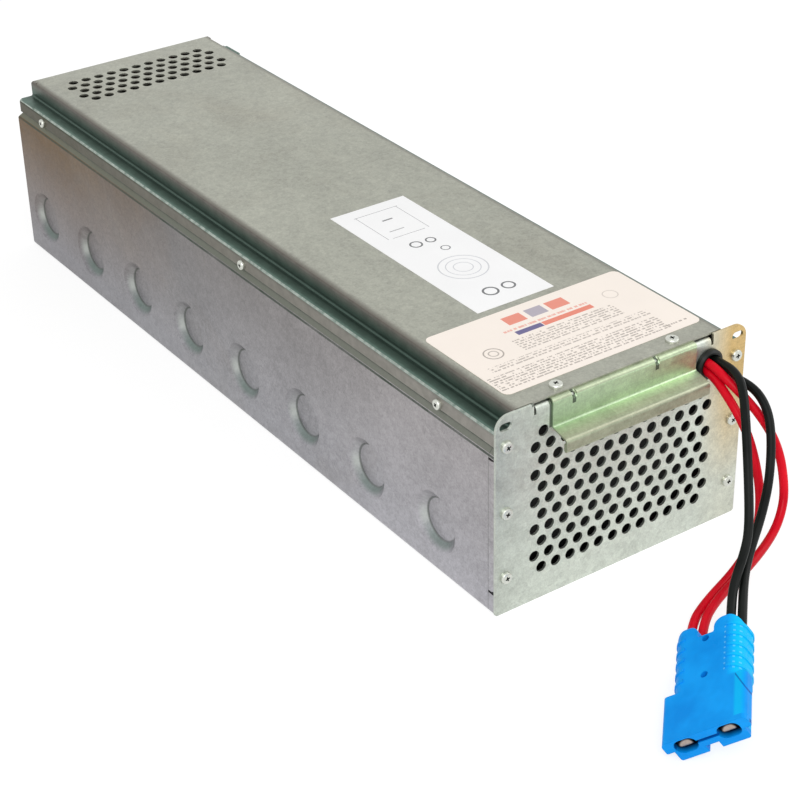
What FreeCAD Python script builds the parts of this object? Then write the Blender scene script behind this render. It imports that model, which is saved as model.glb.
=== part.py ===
import FreeCAD, Part
import os
import math

V = FreeCAD.Vector

# Lengths in millimetres. X runs across the case, Y from the front panel to the rear, Z up from the base.
# Shapes are drawn with the front face of the panel at Y = 0 and moved by front_y when they are saved.

# Batteries and the room round them, which set the size of the case
battery_width = 151.0
battery_depth = 64.8
battery_height = 94.0
battery_count = 8
battery_gap = 0.3
side_room = 5.3
front_room = 10.7
rear_foam = 2.6
wiring_room = 22.9
lid_height = 13.2
lid_overhang = 0.5
battery_corner_r = 2.0
tab_width = 6.35
tab_thick = 0.8
tab_height = 6.0
tab_root = 1.0
tab_edge_x = 11.0
tab_edge_y = 7.5

# Sheet metal
sheet = 1.2
panel_sheet = 1.5
bend = 1.2
joggle_rise = 3.5
joggle_in = 2.9
joggle_below_ledge = 13.0
ledge_below_top = 10.7
hat_from_left = 11.5
hat_from_right = 16.0
cover_lap = 8.9
cover_front_gap = 0.3
edge_relief = 1.5

# Front flanges and upper tabs of the tray
flange_width = 16.0
flange_low = 14.0
flange_below_joggle = 2.6
tab_above_joggle = 2.0
tab_below_strip = 1.7

# Pressed dimples on each long side, one for each battery
dimple_behind_centre = 9.3
dimple_z = 30.0
dimple_r = 18.0
dimple_floor_r = 12.5
dimple_rim = 0.6
dimple_wall = 0.2
dimple_clearance = 0.6

# Front panel
panel_below_top = 0.3
ear_corner_r = 8.0
foot_corner_r = 1.5
panel_flange_from_left = 25.0
panel_flange_from_right = 24.5
flange_depth = 16.0
ear_slot_inset = 6.0
ear_slot_below_top = 6.5
ear_slot_length = 7.5
ear_slot_width = 4.5
hole_r = 3.175
hole_pitch = 9.525
row_pitch = 8.249
top_row_below_top = 17.451
bottom_row_margin = 15.0
row_end_margin = 19.5
panel_screw_inset = 6.5
panel_screw_low = 22.3
panel_screw_below_top = 18.4

# Top cover perforation
cover_rows = 5
cover_row_from_rear = 23.15
cover_row_shift = 0.375
cover_row_margin = 10.0

# Pull handle
handle_from_left = 34.6
handle_from_right = 35.5
handle_web_height = 16.7
handle_reach = 12.6
handle_drop = 2.7
lip_height = 10.1
hem_height = 4.6
dart_from_left = 13.4
dart_from_right = 26.5
dart_r = 1.6
dart_below_top = 4.6

# Cable grommet and leads
grommet_from_right = 26.0
grommet_below_top = 16.8
grommet_r = 8.5
grommet_hole_r = 7.0
grommet_bore_r = 6.25
grommet_proud = 3.2
grommet_back = 2.4
grommet_taper = 1.2
perforation_land = 0.4
lead_d = 4.8
lead_spread = 2.5
lead_gap = 0.3

# Screws and clinch nuts
screw_r = 1.95
screw_point = 0.6
nut_bore_r = 2.0
screw_hole_r = 2.2
screw_past_nut = 0.8
nut_r = 3.6
nut_thick = 2.0
panel_head_r = 3.4
panel_head_h = 2.0
side_head_r = 3.0
side_head_h = 1.7
top_head_r = 3.7
top_head_h = 1.6
top_screw_from_left = 8.4
top_screw_from_right = 9.5
top_screw_y = 7.6
side_screw_front = 50.8
side_screw_before_middle = 24.3
side_screw_from_rear = 35.5
side_screw_below_ledge = 6.2
rear_screw_inset = 32.0

# Labels
label_thick = 0.2
cream_from_left = 5.5
cream_from_right = 2.4
cream_front = 14.0
cream_length = 71.0
cream_corner_r = 4.0
white_behind_cream = 5.3
white_half_width = 25.6
white_shift = -0.2
white_length = 142.7

# Boots and jumpers on the batteries
boot_x = 9.0
boot_y = 6.0
boot_z = 11.0
boot_clear = 0.3
jumper_lane_inset = 28.0

# Leads inside the case
lead_span = 35.0
turn_near = 6.0
turn_far = 13.0
layer_up = 2.9
layer_down = -3.1
black_lane_1 = 20.0
red_lane_2 = 26.0
black_lane_2 = 34.0
red_lane_1 = 40.0

# Foam
strip_low = 12.0
strip_below_flange = 1.0
strip_nut_gap = 0.4
pad_inset = 5.5
pad_above_base = 6.8
pad_below_battery_top = 5.2

# Two-pole connector: place of the middle of its top front edge, and its directions
connector_x = -74.95
connector_y = -147.32
connector_z = 21.43
con_across = V(0.5473, -0.6306, 0.5503)
con_rearward = V(0.6775, 0.7198, 0.1509)
con_length = 69.5
hood_half = 22.4
hood_thick = 6.8
hood_upper_r = 2.4
hood_lower_r = 0.8
nose_half = 18.5
nose_thick = 13.5
nose_lower_r = 1.2
keyway_half = 3.5
keyway_length = 6.0
keyway_height = 4.0
mating_length = 29.4
grip_half = 18.7
grip_thick = 18.1
grip_corner_r = 7.0
lobe_inner = 4.5
lobe_outer_r = 7.0
lobe_inner_r = 5.0
valley_r = 1.2
valley_depth = 8.0
pole_x = 11.4
well_width = 11.6
well_height = 8.6
well_depth = 24.0
well_wall = 0.9
well_corner_flat = 0.4
groove_half = 0.9
groove_depth = 2.0
pin_hole_r = 1.9
pin_hole_depth = 7.0
pin_hole_y = (35.5, 59.0)
wire_level = -9.2
wire_step = (2.45, -1.25)
wire_depth = 8.0
wire_run_out = 11.0
rib_first = 36.0
rib_pitch = 6.8
rib_count = 5
rib_height = 0.5
rib_length = 1.8
contact_front = 3.4
contact_half = 3.7
contact_nose_r = 2.3
contact_base = 0.2
spring_front = 8.0
spring_half = 3.2
spring_gap = 2.4
spring_thick = 0.6

# Values that follow from the ones above
battery_pitch = battery_depth + battery_gap
case_width = battery_width + 2 * (side_room + sheet)
case_length = front_room + battery_count * battery_pitch - battery_gap + rear_foam + sheet
case_height = battery_height + wiring_room + 2 * sheet
half = case_width / 2
strip = half - joggle_in
ledge_z = case_height - ledge_below_top
joggle_low = ledge_z - joggle_below_ledge
joggle_top = joggle_low + joggle_rise
hat_left = hat_from_left - half
hat_right = half - hat_from_right
strip_rear = case_length - joggle_in
flange_out = strip + sheet
cover_rear = strip_rear + sheet
cover_low = ledge_z - cover_lap
cover_front = panel_sheet + cover_front_gap
tray_top = ledge_z - sheet - bend - cover_front_gap
flange_inner = half - flange_width
flange_high = joggle_low - flange_below_joggle
tab_low = joggle_low + tab_above_joggle
tab_high = tray_top - tab_below_strip
handle_flange_top = case_height - sheet
panel_flange_top = handle_flange_top - sheet
panel_height = case_height - panel_below_top
flange_left = panel_flange_from_left - half
flange_right = half - panel_flange_from_right
ear_slot_x = half - ear_slot_inset
ear_slot_z = panel_height - ear_slot_below_top
panel_top_row_z = case_height - top_row_below_top
panel_rows = int((panel_top_row_z - bottom_row_margin) / row_pitch) + 1
panel_wide_row = int((case_width - 2 * row_end_margin) / hole_pitch)
panel_screw_x = half - panel_screw_inset
panel_screw_high = case_height - panel_screw_below_top
panel_screw_z = (panel_screw_low, (panel_screw_low + panel_screw_high) / 2, panel_screw_high)
cover_last_row_y = case_length - cover_row_from_rear
cover_row_x = (hat_left + hat_right) / 2 + cover_row_shift
cover_wide_row = int((hat_right - hat_left - 2 * cover_row_margin) / hole_pitch)
handle_left = handle_from_left - half
handle_right = half - handle_from_right
handle_web_low = case_height - handle_web_height
lip_low = handle_web_low - lip_height
dart_x = (handle_left + dart_from_left, handle_right - dart_from_right)
grommet_x = half - grommet_from_right
grommet_z = case_height - grommet_below_top
top_screw_x = (handle_left + top_screw_from_left, handle_right - top_screw_from_right)
side_screw_y = (
    side_screw_front, case_length / 2 - side_screw_before_middle, case_length - side_screw_from_rear,
)
side_screw_z = ledge_z - side_screw_below_ledge
rear_screw_x = (rear_screw_inset - half, half - rear_screw_inset)
rear_reach = max(case_length, cover_rear + side_head_h)
front_y = -(rear_reach - handle_reach) / 2
battery_top = sheet + battery_height
block_front = front_room
block_rear = case_length - sheet - rear_foam
dimple_first_y = block_front + battery_depth / 2 + dimple_behind_centre
dimple_depth = side_room - dimple_clearance
cream_rear = cream_front + cream_length
white_front = cream_rear + white_behind_cream
white_label = (white_shift - white_half_width, white_front, white_shift + white_half_width,
               white_front + white_length)
cream_label = (hat_left + cream_from_left, cream_front, hat_right - cream_from_right, cream_rear)
tab_x = battery_width / 2 - tab_edge_x
jumper_z = battery_top + lead_d / 2 + lead_gap
lead_z = jumper_z + lead_d + lead_gap
con_origin = V(connector_x, connector_y, connector_z)
well_mid = -well_wall - well_height / 2
well_r = well_height / 2 - well_corner_flat
wire_run = math.hypot(*wire_step)
wire_hole_r = lead_d / 2 + lead_gap

os.makedirs("parts", exist_ok=True)


def save(name, solids):
    """Write one node as a STEP file, moved into the frame of the part."""
    shape = solids[0] if len(solids) == 1 else Part.makeCompound(solids)
    shape = shape.copy()
    shape.translate(V(0, front_y, 0))
    shape.exportStep("parts/" + name + ".step")
    print(name, len(shape.Solids), round(shape.Volume, 1), shape.isValid())


def on_xz(y):
    return lambda a, b: V(a, y, b)


def on_yz(x):
    return lambda a, b: V(x, a, b)


def on_xy(z):
    return lambda a, b: V(a, b, z)


def rounded_edges(points, radii, place):
    """Straight runs through the points, with an arc at every inner point whose radius is not zero."""
    edges = []
    last = points[0]
    for i in range(1, len(points) - 1):
        if radii[i] == 0:
            edges.append(Part.LineSegment(place(*last), place(*points[i])).toShape())
            last = points[i]
            continue
        ax, ay = points[i - 1][0] - points[i][0], points[i - 1][1] - points[i][1]
        bx, by = points[i + 1][0] - points[i][0], points[i + 1][1] - points[i][1]
        la, lb = math.hypot(ax, ay), math.hypot(bx, by)
        ax, ay, bx, by = ax / la, ay / la, bx / lb, by / lb
        turn = math.pi - math.acos(max(-1.0, min(1.0, ax * bx + ay * by)))
        reach = radii[i] * math.tan(turn / 2)
        start = (points[i][0] + ax * reach, points[i][1] + ay * reach)
        end = (points[i][0] + bx * reach, points[i][1] + by * reach)
        mx, my = ax + bx, ay + by
        lm = math.hypot(mx, my)
        inset = radii[i] / math.cos(turn / 2) - radii[i]
        middle = (points[i][0] + mx / lm * inset, points[i][1] + my / lm * inset)
        edges.append(Part.LineSegment(place(*last), place(*start)).toShape())
        edges.append(Part.Arc(place(*start), place(*middle), place(*end)).toShape())
        last = end
    edges.append(Part.LineSegment(place(*last), place(*points[-1])).toShape())
    return edges


def folded(points, thick, inner_r, place):
    """Section of a folded sheet: the points are one face and the sheet lies to the left of the path."""
    count = len(points)
    steps = []
    for i in range(count - 1):
        dx, dy = points[i + 1][0] - points[i][0], points[i + 1][1] - points[i][1]
        size = math.hypot(dx, dy)
        steps.append((dx / size, dy / size))
    other = []
    near_radii = [0.0] * count
    far_radii = [0.0] * count
    for i in range(count):
        before = steps[max(i - 1, 0)]
        after = steps[min(i, count - 2)]
        nx, ny = -before[1] - after[1], before[0] + after[0]
        scale = thick / (1 + before[0] * after[0] + before[1] * after[1])
        other.append((points[i][0] + nx * scale, points[i][1] + ny * scale))
        left_turn = before[0] * after[1] - before[1] * after[0] > 0
        near_radii[i] = inner_r + thick if left_turn else inner_r
        far_radii[i] = inner_r if left_turn else inner_r + thick
    edges = rounded_edges(points, near_radii, place)
    edges.append(Part.LineSegment(place(*points[-1]), place(*other[-1])).toShape())
    edges += rounded_edges(other[::-1], far_radii[::-1], place)
    edges.append(Part.LineSegment(place(*other[0]), place(*points[0])).toShape())
    return Part.Face(Part.Wire(edges))


def polygon(points, place):
    corners = [place(*p) for p in points]
    return Part.Face(Part.makePolygon(corners + [corners[0]]))


def box(x0, y0, z0, x1, y1, z1):
    return Part.makeBox(x1 - x0, y1 - y0, z1 - z0, V(x0, y0, z0))


def rod(radius, start, along, length):
    return Part.makeCylinder(radius, length, start, along)


def cylinders_cut(shape, tools):
    return shape.cut(Part.makeCompound(tools))


def slot_tool(x, z, length, width, y0, y1):
    """Horizontal oval through the panel."""
    r = width / 2
    reach = length / 2 - r
    tool = box(x - reach, y0, z - r, x + reach, y1, z + r)
    for side in (-1, 1):
        tool = tool.fuse(rod(r, V(x + side * reach, y0, z), V(0, 1, 0), y1 - y0))
    return tool.removeSplitter()


def tube(points, diameter, name, quiet=True):
    """Round cord through hand-chosen points: straight runs joined by tangent arcs."""
    pts = [V(*p) for p in points]
    edges = []
    radii = []
    last = pts[0]
    for i in range(1, len(pts) - 1):
        a = pts[i - 1] - pts[i]
        b = pts[i + 1] - pts[i]
        shorter = min(a.Length, b.Length)
        a.normalize()
        b.normalize()
        half_turn = (math.pi - a.getAngle(b)) / 2
        reach = 0.45 * shorter
        radius = reach / math.tan(half_turn)
        radii.append(round(radius, 1))
        start = pts[i] + a * reach
        end = pts[i] + b * reach
        middle = a + b
        middle.normalize()
        top = pts[i] + middle * (radius / math.cos(half_turn) - radius)
        edges.append(Part.LineSegment(last, start).toShape())
        edges.append(Part.Arc(start, top, end).toShape())
        last = end
    edges.append(Part.LineSegment(last, pts[-1]).toShape())
    path = Part.Wire(edges)
    first = pts[1] - pts[0]
    ring = Part.Wire(Part.makeCircle(diameter / 2, pts[0], first))
    solid = path.makePipeShell([ring], True, False)
    section = math.pi * diameter * diameter / 4
    if not quiet:
        print(name, "length", round(path.Length, 1), "radii", radii)
        print(name, "volume ratio", round(solid.Volume / (section * path.Length), 4))
    return solid


def screw(head_r, head_h, shank):
    """Pan head screw along +Z: the head stands on Z = 0 and the shank runs down."""
    crown = head_h * 0.35
    outline = [(0.0, head_h), (head_r * 0.55, head_h), (head_r, crown), (head_r, 0.0)]
    outline += [(screw_r, 0.0), (screw_r, screw_point - shank), (screw_r - screw_point, -shank)]
    outline += [(0.0, -shank)]
    return polygon(outline, on_xz(0)).revolve(V(0, 0, 0), V(0, 0, 1), 360)


def nut():
    """Clinch nut along -Z: its flange side lies on Z = 0."""
    body = Part.makeCylinder(nut_r, nut_thick, V(0, 0, -nut_thick))
    return body.cut(Part.makeCylinder(nut_bore_r, nut_thick + 2, V(0, 0, -nut_thick - 1)))


def aimed(shape, direction, at):
    """Turn a shape drawn along +Z to a direction and move it to a point."""
    turned = shape.copy()
    turn = FreeCAD.Rotation(V(0, 0, 1), V(*direction))
    turned.Placement = FreeCAD.Placement(V(*at), turn)
    return turned


# Screw stations: the point on the outer face, the outward direction and the sheets that are held
panel_stations = []
side_stations = []
for side in (-1, 1):
    for z in panel_screw_z:
        panel_stations.append(((side * panel_screw_x, 0.0, z), (0, -1, 0)))
    for y in side_screw_y:
        side_stations.append(((side * flange_out, y, side_screw_z), (side, 0, 0)))
top_stations = [((x, top_screw_y, case_height), (0, 0, 1)) for x in top_screw_x]
rear_stations = [((x, cover_rear, side_screw_z), (0, 1, 0)) for x in rear_screw_x]
panel_grip = panel_sheet + sheet
cover_grip = sheet + sheet
top_grip = sheet + sheet + panel_sheet


def clearance_tools(stations, grip):
    tools = []
    for at, direction in stations:
        start = V(*at) + V(*direction)
        tools.append(rod(screw_hole_r, start, V(*direction) * -1, grip + 2))
    return tools


# Base tray: one folded sheet
tray_path = [
    (-strip, tray_top), (-strip, joggle_top), (-half, joggle_low), (-half, 0.0),
    (half, 0.0), (half, joggle_low), (strip, joggle_top), (strip, tray_top),
]
rear_run = case_length / 8
rear_path = [
    (case_length - rear_run, 0.0), (case_length, 0.0), (case_length, joggle_low),
    (strip_rear, joggle_top), (strip_rear, tray_top),
]
trough = folded(tray_path, sheet, bend, on_xz(panel_sheet)).extrude(V(0, case_length - panel_sheet, 0))
rear_wall = folded(rear_path, sheet, bend, on_yz(-half)).extrude(V(case_width, 0, 0))
radii = [0.0, bend, bend + sheet, bend + sheet, bend + sheet, bend + sheet, bend, 0.0]
outline = rounded_edges(tray_path, radii, on_xz(0.0))
outline.append(Part.LineSegment(V(strip, 0, tray_top), V(-strip, 0, tray_top)).toShape())
across = Part.Face(Part.Wire(outline)).extrude(V(0, case_length, 0))
rear_radii = [0.0, bend + sheet, bend + sheet, bend, 0.0]
outline = rounded_edges(rear_path, rear_radii, on_yz(-half))
outline.append(Part.LineSegment(V(-half, strip_rear, tray_top), V(-half, 0, tray_top)).toShape())
outline.append(Part.LineSegment(V(-half, 0, tray_top), V(-half, 0, 0)).toShape())
outline.append(Part.LineSegment(V(-half, 0, 0), V(-half, case_length - rear_run, 0)).toShape())
along = Part.Face(Part.Wire(outline)).extrude(V(case_width, 0, 0))
tray = trough.common(along).fuse(rear_wall.common(across))
for side in (-1, 1):
    for wall, low, high in ((half, flange_low, flange_high), (strip, tab_low, tab_high)):
        path = [(side * wall, 20.0), (side * wall, panel_sheet), (side * flange_inner, panel_sheet)]
        if side > 0:
            path = path[::-1]
        relief = box(min(side * (wall - 6), side * wall), 0, low - edge_relief,
                     max(side * (wall - 6), side * wall), 6, high + edge_relief)
        tray = tray.cut(relief)
        front_flange = folded(path, sheet, bend, on_xy(low)).extrude(V(0, 0, high - low))
        tray = tray.fuse(front_flange)
tools = clearance_tools(panel_stations, panel_grip) + clearance_tools(side_stations, cover_grip)
tools += clearance_tools(rear_stations, cover_grip)
dishes = []
for k in range(battery_count):
    y = dimple_first_y + k * battery_pitch
    for side in (-1, 1):
        tools.append(rod(dimple_r, V(side * (half - sheet - 1), y, dimple_z), V(side, 0, 0), sheet + 2))
        section = [(0.0, -dimple_depth), (dimple_floor_r, -dimple_depth), (dimple_r, 0.0)]
        section += [(dimple_r + dimple_rim, 0.0), (dimple_r + dimple_rim, -sheet)]
        section += [(dimple_r + dimple_wall, -sheet)]
        section += [(dimple_floor_r + dimple_wall, -dimple_depth - sheet), (0.0, -dimple_depth - sheet)]
        dish = polygon(section, on_xz(0)).revolve(V(0, 0, 0), V(0, 0, 1), 360)
        dishes.append(aimed(dish, (side, 0, 0), (side * half, y, dimple_z)))
tray = cylinders_cut(tray, tools)
tray = tray.fuse(dishes).removeSplitter()
save("base_tray", [tray])

# Top cover: one folded sheet with raised middle
hat_path = [
    (flange_out, cover_low), (flange_out, ledge_z), (hat_right, ledge_z), (hat_right, case_height),
    (hat_left, case_height), (hat_left, ledge_z), (-flange_out, ledge_z), (-flange_out, cover_low),
]
hat = folded(hat_path, sheet, bend, on_xz(cover_front)).extrude(V(0, cover_rear - cover_front, 0))
hat_radii = [0.0, bend + sheet, bend, bend + sheet, bend + sheet, bend, bend + sheet, 0.0]
outline = rounded_edges(hat_path, hat_radii, on_xz(0.0))
outline.append(Part.LineSegment(V(-flange_out, 0, cover_low), V(flange_out, 0, cover_low)).toShape())
hat_filled = Part.Face(Part.Wire(outline)).extrude(V(0, cover_rear, 0))
high_path = [(cover_rear, cover_low), (cover_rear, case_height), (cover_rear - 20, case_height)]
low_path = [(cover_rear, cover_low), (cover_rear, ledge_z), (cover_rear - 20, ledge_z)]
high_bend = folded(high_path, sheet, bend, on_yz(hat_left)).extrude(V(hat_right - hat_left, 0, 0))
low_bend = folded(low_path, sheet, bend, on_yz(-flange_out)).extrude(V(2 * flange_out, 0, 0))
under_hat = box(hat_left + sheet, cover_rear - 30, cover_low, hat_right - sheet, cover_rear - sheet, case_height)
low_bend = low_bend.cut(under_hat)
rear_bend = sheet + bend
cover_cut = box(-half, cover_rear - rear_bend, ledge_z - rear_bend, half, cover_rear + 1, case_height + 1)
hat_front = hat.cut(cover_cut)
hat_rear = hat.common(cover_cut)
corners = [
    (0.0, cover_low), (0.0, case_height), (cover_rear, case_height), (cover_rear, cover_low), (0.0, cover_low),
]
outline = rounded_edges(corners, [0.0, 0.0, rear_bend, 0.0, 0.0], on_yz(-half))
keep_high = Part.Face(Part.Wire(outline)).extrude(V(case_width, 0, 0))
cover = hat_front.fuse(hat_rear.common(keep_high)).fuse(high_bend.common(hat_filled)).fuse(low_bend)
tools = []
for row in range(cover_rows):
    y = cover_last_row_y - row * row_pitch
    count = cover_wide_row - (row + 1) % 2
    for k in range(count):
        x = cover_row_x + (k - (count - 1) / 2) * hole_pitch
        tools.append(rod(hole_r, V(x, y, case_height - 4), V(0, 0, 1), 6))
tools += clearance_tools(side_stations, cover_grip)
tools += clearance_tools(rear_stations, cover_grip)
tools += clearance_tools(top_stations, top_grip)
cover = cylinders_cut(cover, tools).removeSplitter()
save("top_cover", [cover])

# Front panel: ears, staggered perforation and a top flange folded back
corners = [
    (0.0, 0.0), (half, 0.0), (half, panel_height), (-half, panel_height), (-half, 0.0), (0.0, 0.0),
]
corner_radii = [0.0, foot_corner_r, ear_corner_r, ear_corner_r, foot_corner_r, 0.0]
panel = Part.Face(Part.Wire(rounded_edges(corners, corner_radii, on_xz(0.0)))).extrude(V(0, panel_sheet, 0))
fold_z = panel_flange_top - panel_sheet - bend - edge_relief
panel = panel.cut(box(flange_left - edge_relief, -1, fold_z, flange_right + edge_relief, 3, panel_height + 1))
top_path = [(flange_depth, panel_flange_top), (0.0, panel_flange_top), (0.0, fold_z)]
top_flange = folded(top_path, panel_sheet, bend, on_yz(flange_left))
top_flange = top_flange.extrude(V(flange_right - flange_left, 0, 0))
panel = panel.fuse(top_flange)
tools = []
for row in range(panel_rows):
    z = panel_top_row_z - row * row_pitch
    count = panel_wide_row - (row + 1) % 2
    for k in range(count):
        x = (k - (count - 1) / 2) * hole_pitch
        if math.hypot(x - grommet_x, z - grommet_z) > grommet_r + hole_r + perforation_land:
            tools.append(rod(hole_r, V(x, -1, z), V(0, 1, 0), 4))
for side in (-1, 1):
    tools.append(slot_tool(side * ear_slot_x, ear_slot_z, ear_slot_length, ear_slot_width, -1, 3))
tools.append(rod(grommet_hole_r, V(grommet_x, -1, grommet_z), V(0, 1, 0), 4))
tools += clearance_tools(panel_stations, panel_grip)
tools += clearance_tools(top_stations, top_grip)
panel = cylinders_cut(panel, tools).removeSplitter()
save("front_panel", [panel])

# Pull handle: one folded sheet between the flange of the panel and the cover
shelf_low = handle_web_low - handle_drop
handle_path = [
    (flange_depth - 1, handle_flange_top), (-sheet, handle_flange_top), (-sheet, handle_web_low),
    (-handle_reach, shelf_low), (-handle_reach, lip_low + sheet),
]
handle_width = handle_right - handle_left
handle = folded(handle_path, sheet, bend, on_yz(handle_left)).extrude(V(handle_width, 0, 0))
hem_y = -handle_reach + sheet
hem = box(handle_left, -handle_reach, lip_low + sheet, handle_right, hem_y + sheet, lip_low + hem_height)
handle = handle.fuse(hem)
handle = handle.fuse(rod(sheet, V(handle_left, hem_y, lip_low + sheet), V(1, 0, 0), handle_width))
darts = []
for x in dart_x:
    darts.append(rod(dart_r, V(x, -sheet - 2 * dart_r, handle_flange_top - dart_below_top), V(0, 1, 1), 12))
handle = cylinders_cut(handle, darts + clearance_tools(top_stations, top_grip)).removeSplitter()
save("pull_handle", [handle])

# Rubber grommet in the panel
ring = [
    (grommet_bore_r, -grommet_proud), (grommet_r - grommet_taper, -grommet_proud),
    (grommet_r, grommet_taper - grommet_proud),
    (grommet_r, 0.0), (grommet_hole_r, 0.0), (grommet_hole_r, panel_sheet), (grommet_r, panel_sheet),
    (grommet_r - grommet_taper, panel_sheet + grommet_back), (grommet_bore_r, panel_sheet + grommet_back),
]
ring = [(grommet_x + r, y) for r, y in ring]
grommet = polygon(ring, on_xy(grommet_z)).revolve(V(grommet_x, 0, grommet_z), V(0, 1, 0), 360)
save("cable_grommet", [grommet])

# Screws and clinch nuts
def screw_group(stations, head_r, head_h, grip):
    return [aimed(screw(head_r, head_h, grip + nut_thick + screw_past_nut), d, at) for at, d in stations]


def nut_group(stations, grip):
    nuts = []
    for at, d in stations:
        nuts.append(aimed(nut(), d, tuple(V(*at) - V(*d) * grip)))
    return nuts


save("front_panel_screws", screw_group(panel_stations, panel_head_r, panel_head_h, panel_grip))
save("cover_side_screws", screw_group(side_stations, side_head_r, side_head_h, cover_grip))
save("cover_top_screws", screw_group(top_stations, top_head_r, top_head_h, top_grip))
save("cover_rear_screws", screw_group(rear_stations, side_head_r, side_head_h, cover_grip))
save("panel_clinch_nuts", nut_group([s for s in panel_stations if s[0][2] < flange_high], panel_grip))
save("cover_clinch_nuts", nut_group(side_stations, cover_grip) + nut_group(rear_stations, cover_grip))
save("handle_clinch_nuts", nut_group(top_stations, top_grip))

# Labels on the raised top
x0, y0, x1, y1 = white_label
save("white_label", [box(x0, y0, case_height, x1, y1, case_height + label_thick)])
x0, y0, x1, y1 = cream_label
corners = [((x0 + x1) / 2, y0), (x1, y0), (x1, y1), (x0, y1), (x0, y0), ((x0 + x1) / 2, y0)]
corner_radii = [0.0] + [cream_corner_r] * 4 + [0.0]
cream = Part.Face(Part.Wire(rounded_edges(corners, corner_radii, on_xy(case_height))))
save("cream_label", [cream.extrude(V(0, 0, label_thick))])

# Batteries: case, lid and tabs of each are one solid, turned in pairs so that the jumpers stay short
lid_z = battery_height - lid_height
for n in range(battery_count):
    w, d = battery_width / 2, battery_depth / 2
    block = box(lid_overhang - w, lid_overhang - d, 0, w - lid_overhang, d - lid_overhang, lid_z)
    lid = box(-w, -d, lid_z, w, d, battery_height)
    battery = block.fuse(lid)
    uprights = [e for e in battery.Edges if abs(e.tangentAt(e.FirstParameter).z) > 0.9]
    battery = battery.makeFillet(battery_corner_r, uprights)
    y = tab_edge_y - d
    for x in (-tab_x, tab_x):
        tab = box(x - tab_width / 2, y - tab_thick / 2, battery_height - tab_root,
                  x + tab_width / 2, y + tab_thick / 2, battery_height + tab_height)
        battery = battery.fuse(tab)
    if n % 2 == 0:
        battery.rotate(V(0, 0, 0), V(0, 0, 1), 180)
    battery.translate(V(0, block_front + d + n * battery_pitch, sheet))
    save("battery_" + str(n + 1), [battery])


def tab_place(n, side):
    """Centre of the foot of a battery tab: side -1 is the left one, 1 the right one."""
    centre = block_front + battery_depth / 2 + n * battery_pitch
    offset = battery_depth / 2 - tab_edge_y
    return side * tab_x, centre + (offset if n % 2 == 0 else -offset)


# Insulated push-on boots, one on every tab
def boot(n, side):
    x, y = tab_place(n, side)
    body = box(x - boot_x / 2, y - boot_y / 2, battery_top,
               x + boot_x / 2, y + boot_y / 2, battery_top + boot_z)
    slot_x, slot_y = tab_width / 2 + boot_clear, tab_thick / 2 + boot_clear
    return body.cut(box(x - slot_x, y - slot_y, battery_top - tab_root, x + slot_x, y + slot_y,
                        battery_top + tab_height + boot_clear))


positive = [boot(n, -1 if n % 2 == 0 else 1) for n in range(battery_count)]
negative = [boot(n, 1 if n % 2 == 0 else -1) for n in range(battery_count)]
save("positive_boots", positive)
save("negative_boots", negative)

# Short jumpers arch from boot to boot on the left, long ones lie on the battery tops on the right
for pair in range(battery_count // 2):
    xa, ya = tab_place(2 * pair, -1)
    xb, yb = tab_place(2 * pair + 1, -1)
    reach = (yb - ya) / 2
    foot = battery_top + boot_z
    points = [(xa, ya, foot), (xa, ya, foot + reach), (xb, yb, foot + reach), (xb, yb, foot)]
    save("short_jumper_" + str(pair + 1), [tube(points, lead_d, "short_jumper")])
for string in range(2):
    xa, ya = tab_place(4 * string + 1, 1)
    xb, yb = tab_place(4 * string + 2, 1)
    face = xa - boot_x / 2
    lane = face - jumper_lane_inset
    points = [(face, ya, jumper_z), (lane, ya, jumper_z), (lane, yb, jumper_z), (face, yb, jumper_z)]
    save("long_jumper_" + str(string + 1), [tube(points, lead_d, "long_jumper")])

# Leads inside: two run in an upper layer and two in a lower one, each to the end of its string
inner_start = panel_sheet + grommet_back
inner_leads = [
    ("inner_black_lead_1", 0, lead_spread, lead_spread, black_lane_1),
    ("inner_red_lead_2", 3, -lead_spread, lead_spread, red_lane_2),
    ("inner_black_lead_2", 4, lead_spread, -lead_spread, black_lane_2),
    ("inner_red_lead_1", 7, -lead_spread, -lead_spread, red_lane_1),
]
for name, n, dx, dz, lane_inset in inner_leads:
    x, y = tab_place(n, 1)
    lane = x - boot_x / 2 - lane_inset
    start_x, start_z = grommet_x + dx, grommet_z + dz
    level = grommet_z + (layer_up if dz > 0 else layer_down)
    turn_y = inner_start + (turn_far if dx > 0 else turn_near)
    points = [
        (start_x, inner_start, start_z), (start_x, turn_y, start_z),
        (lane, turn_y + lead_span, level), (lane, y, lead_z), (x - boot_x / 2, y, lead_z),
    ]
    save(name, [tube(points, lead_d, name)])

# Foam: strips between the front flanges and the first battery, a pad behind the last one
strips = []
for side in (-1, 1):
    a, b = sorted((side * flange_inner, side * (panel_screw_x - nut_r - strip_nut_gap)))
    strips.append(box(a, panel_sheet + sheet, strip_low, b, block_front, flange_high - strip_below_flange))
save("front_foam_strips", strips)
pad_half = battery_width / 2 - pad_inset
pad = box(-pad_half, block_rear, sheet + pad_above_base, pad_half, case_length - sheet,
          battery_top - pad_below_battery_top)
save("rear_foam_pad", [pad])

# Two-pole connector, drawn flat: X across its middle, Y towards the leads, Z = 0 on its top, then tilted
con_across.normalize()
con_up = con_across.cross(con_rearward)
con_up.normalize()
con_rearward = con_up.cross(con_across)


def connector_place(shape):
    m = FreeCAD.Matrix()
    m.A11, m.A21, m.A31 = con_across.x, con_across.y, con_across.z
    m.A12, m.A22, m.A32 = con_rearward.x, con_rearward.y, con_rearward.z
    m.A13, m.A23, m.A33 = con_up.x, con_up.y, con_up.z
    placed = shape.copy()
    placed.Placement = FreeCAD.Placement(con_origin, FreeCAD.Rotation(m))
    return placed


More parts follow.
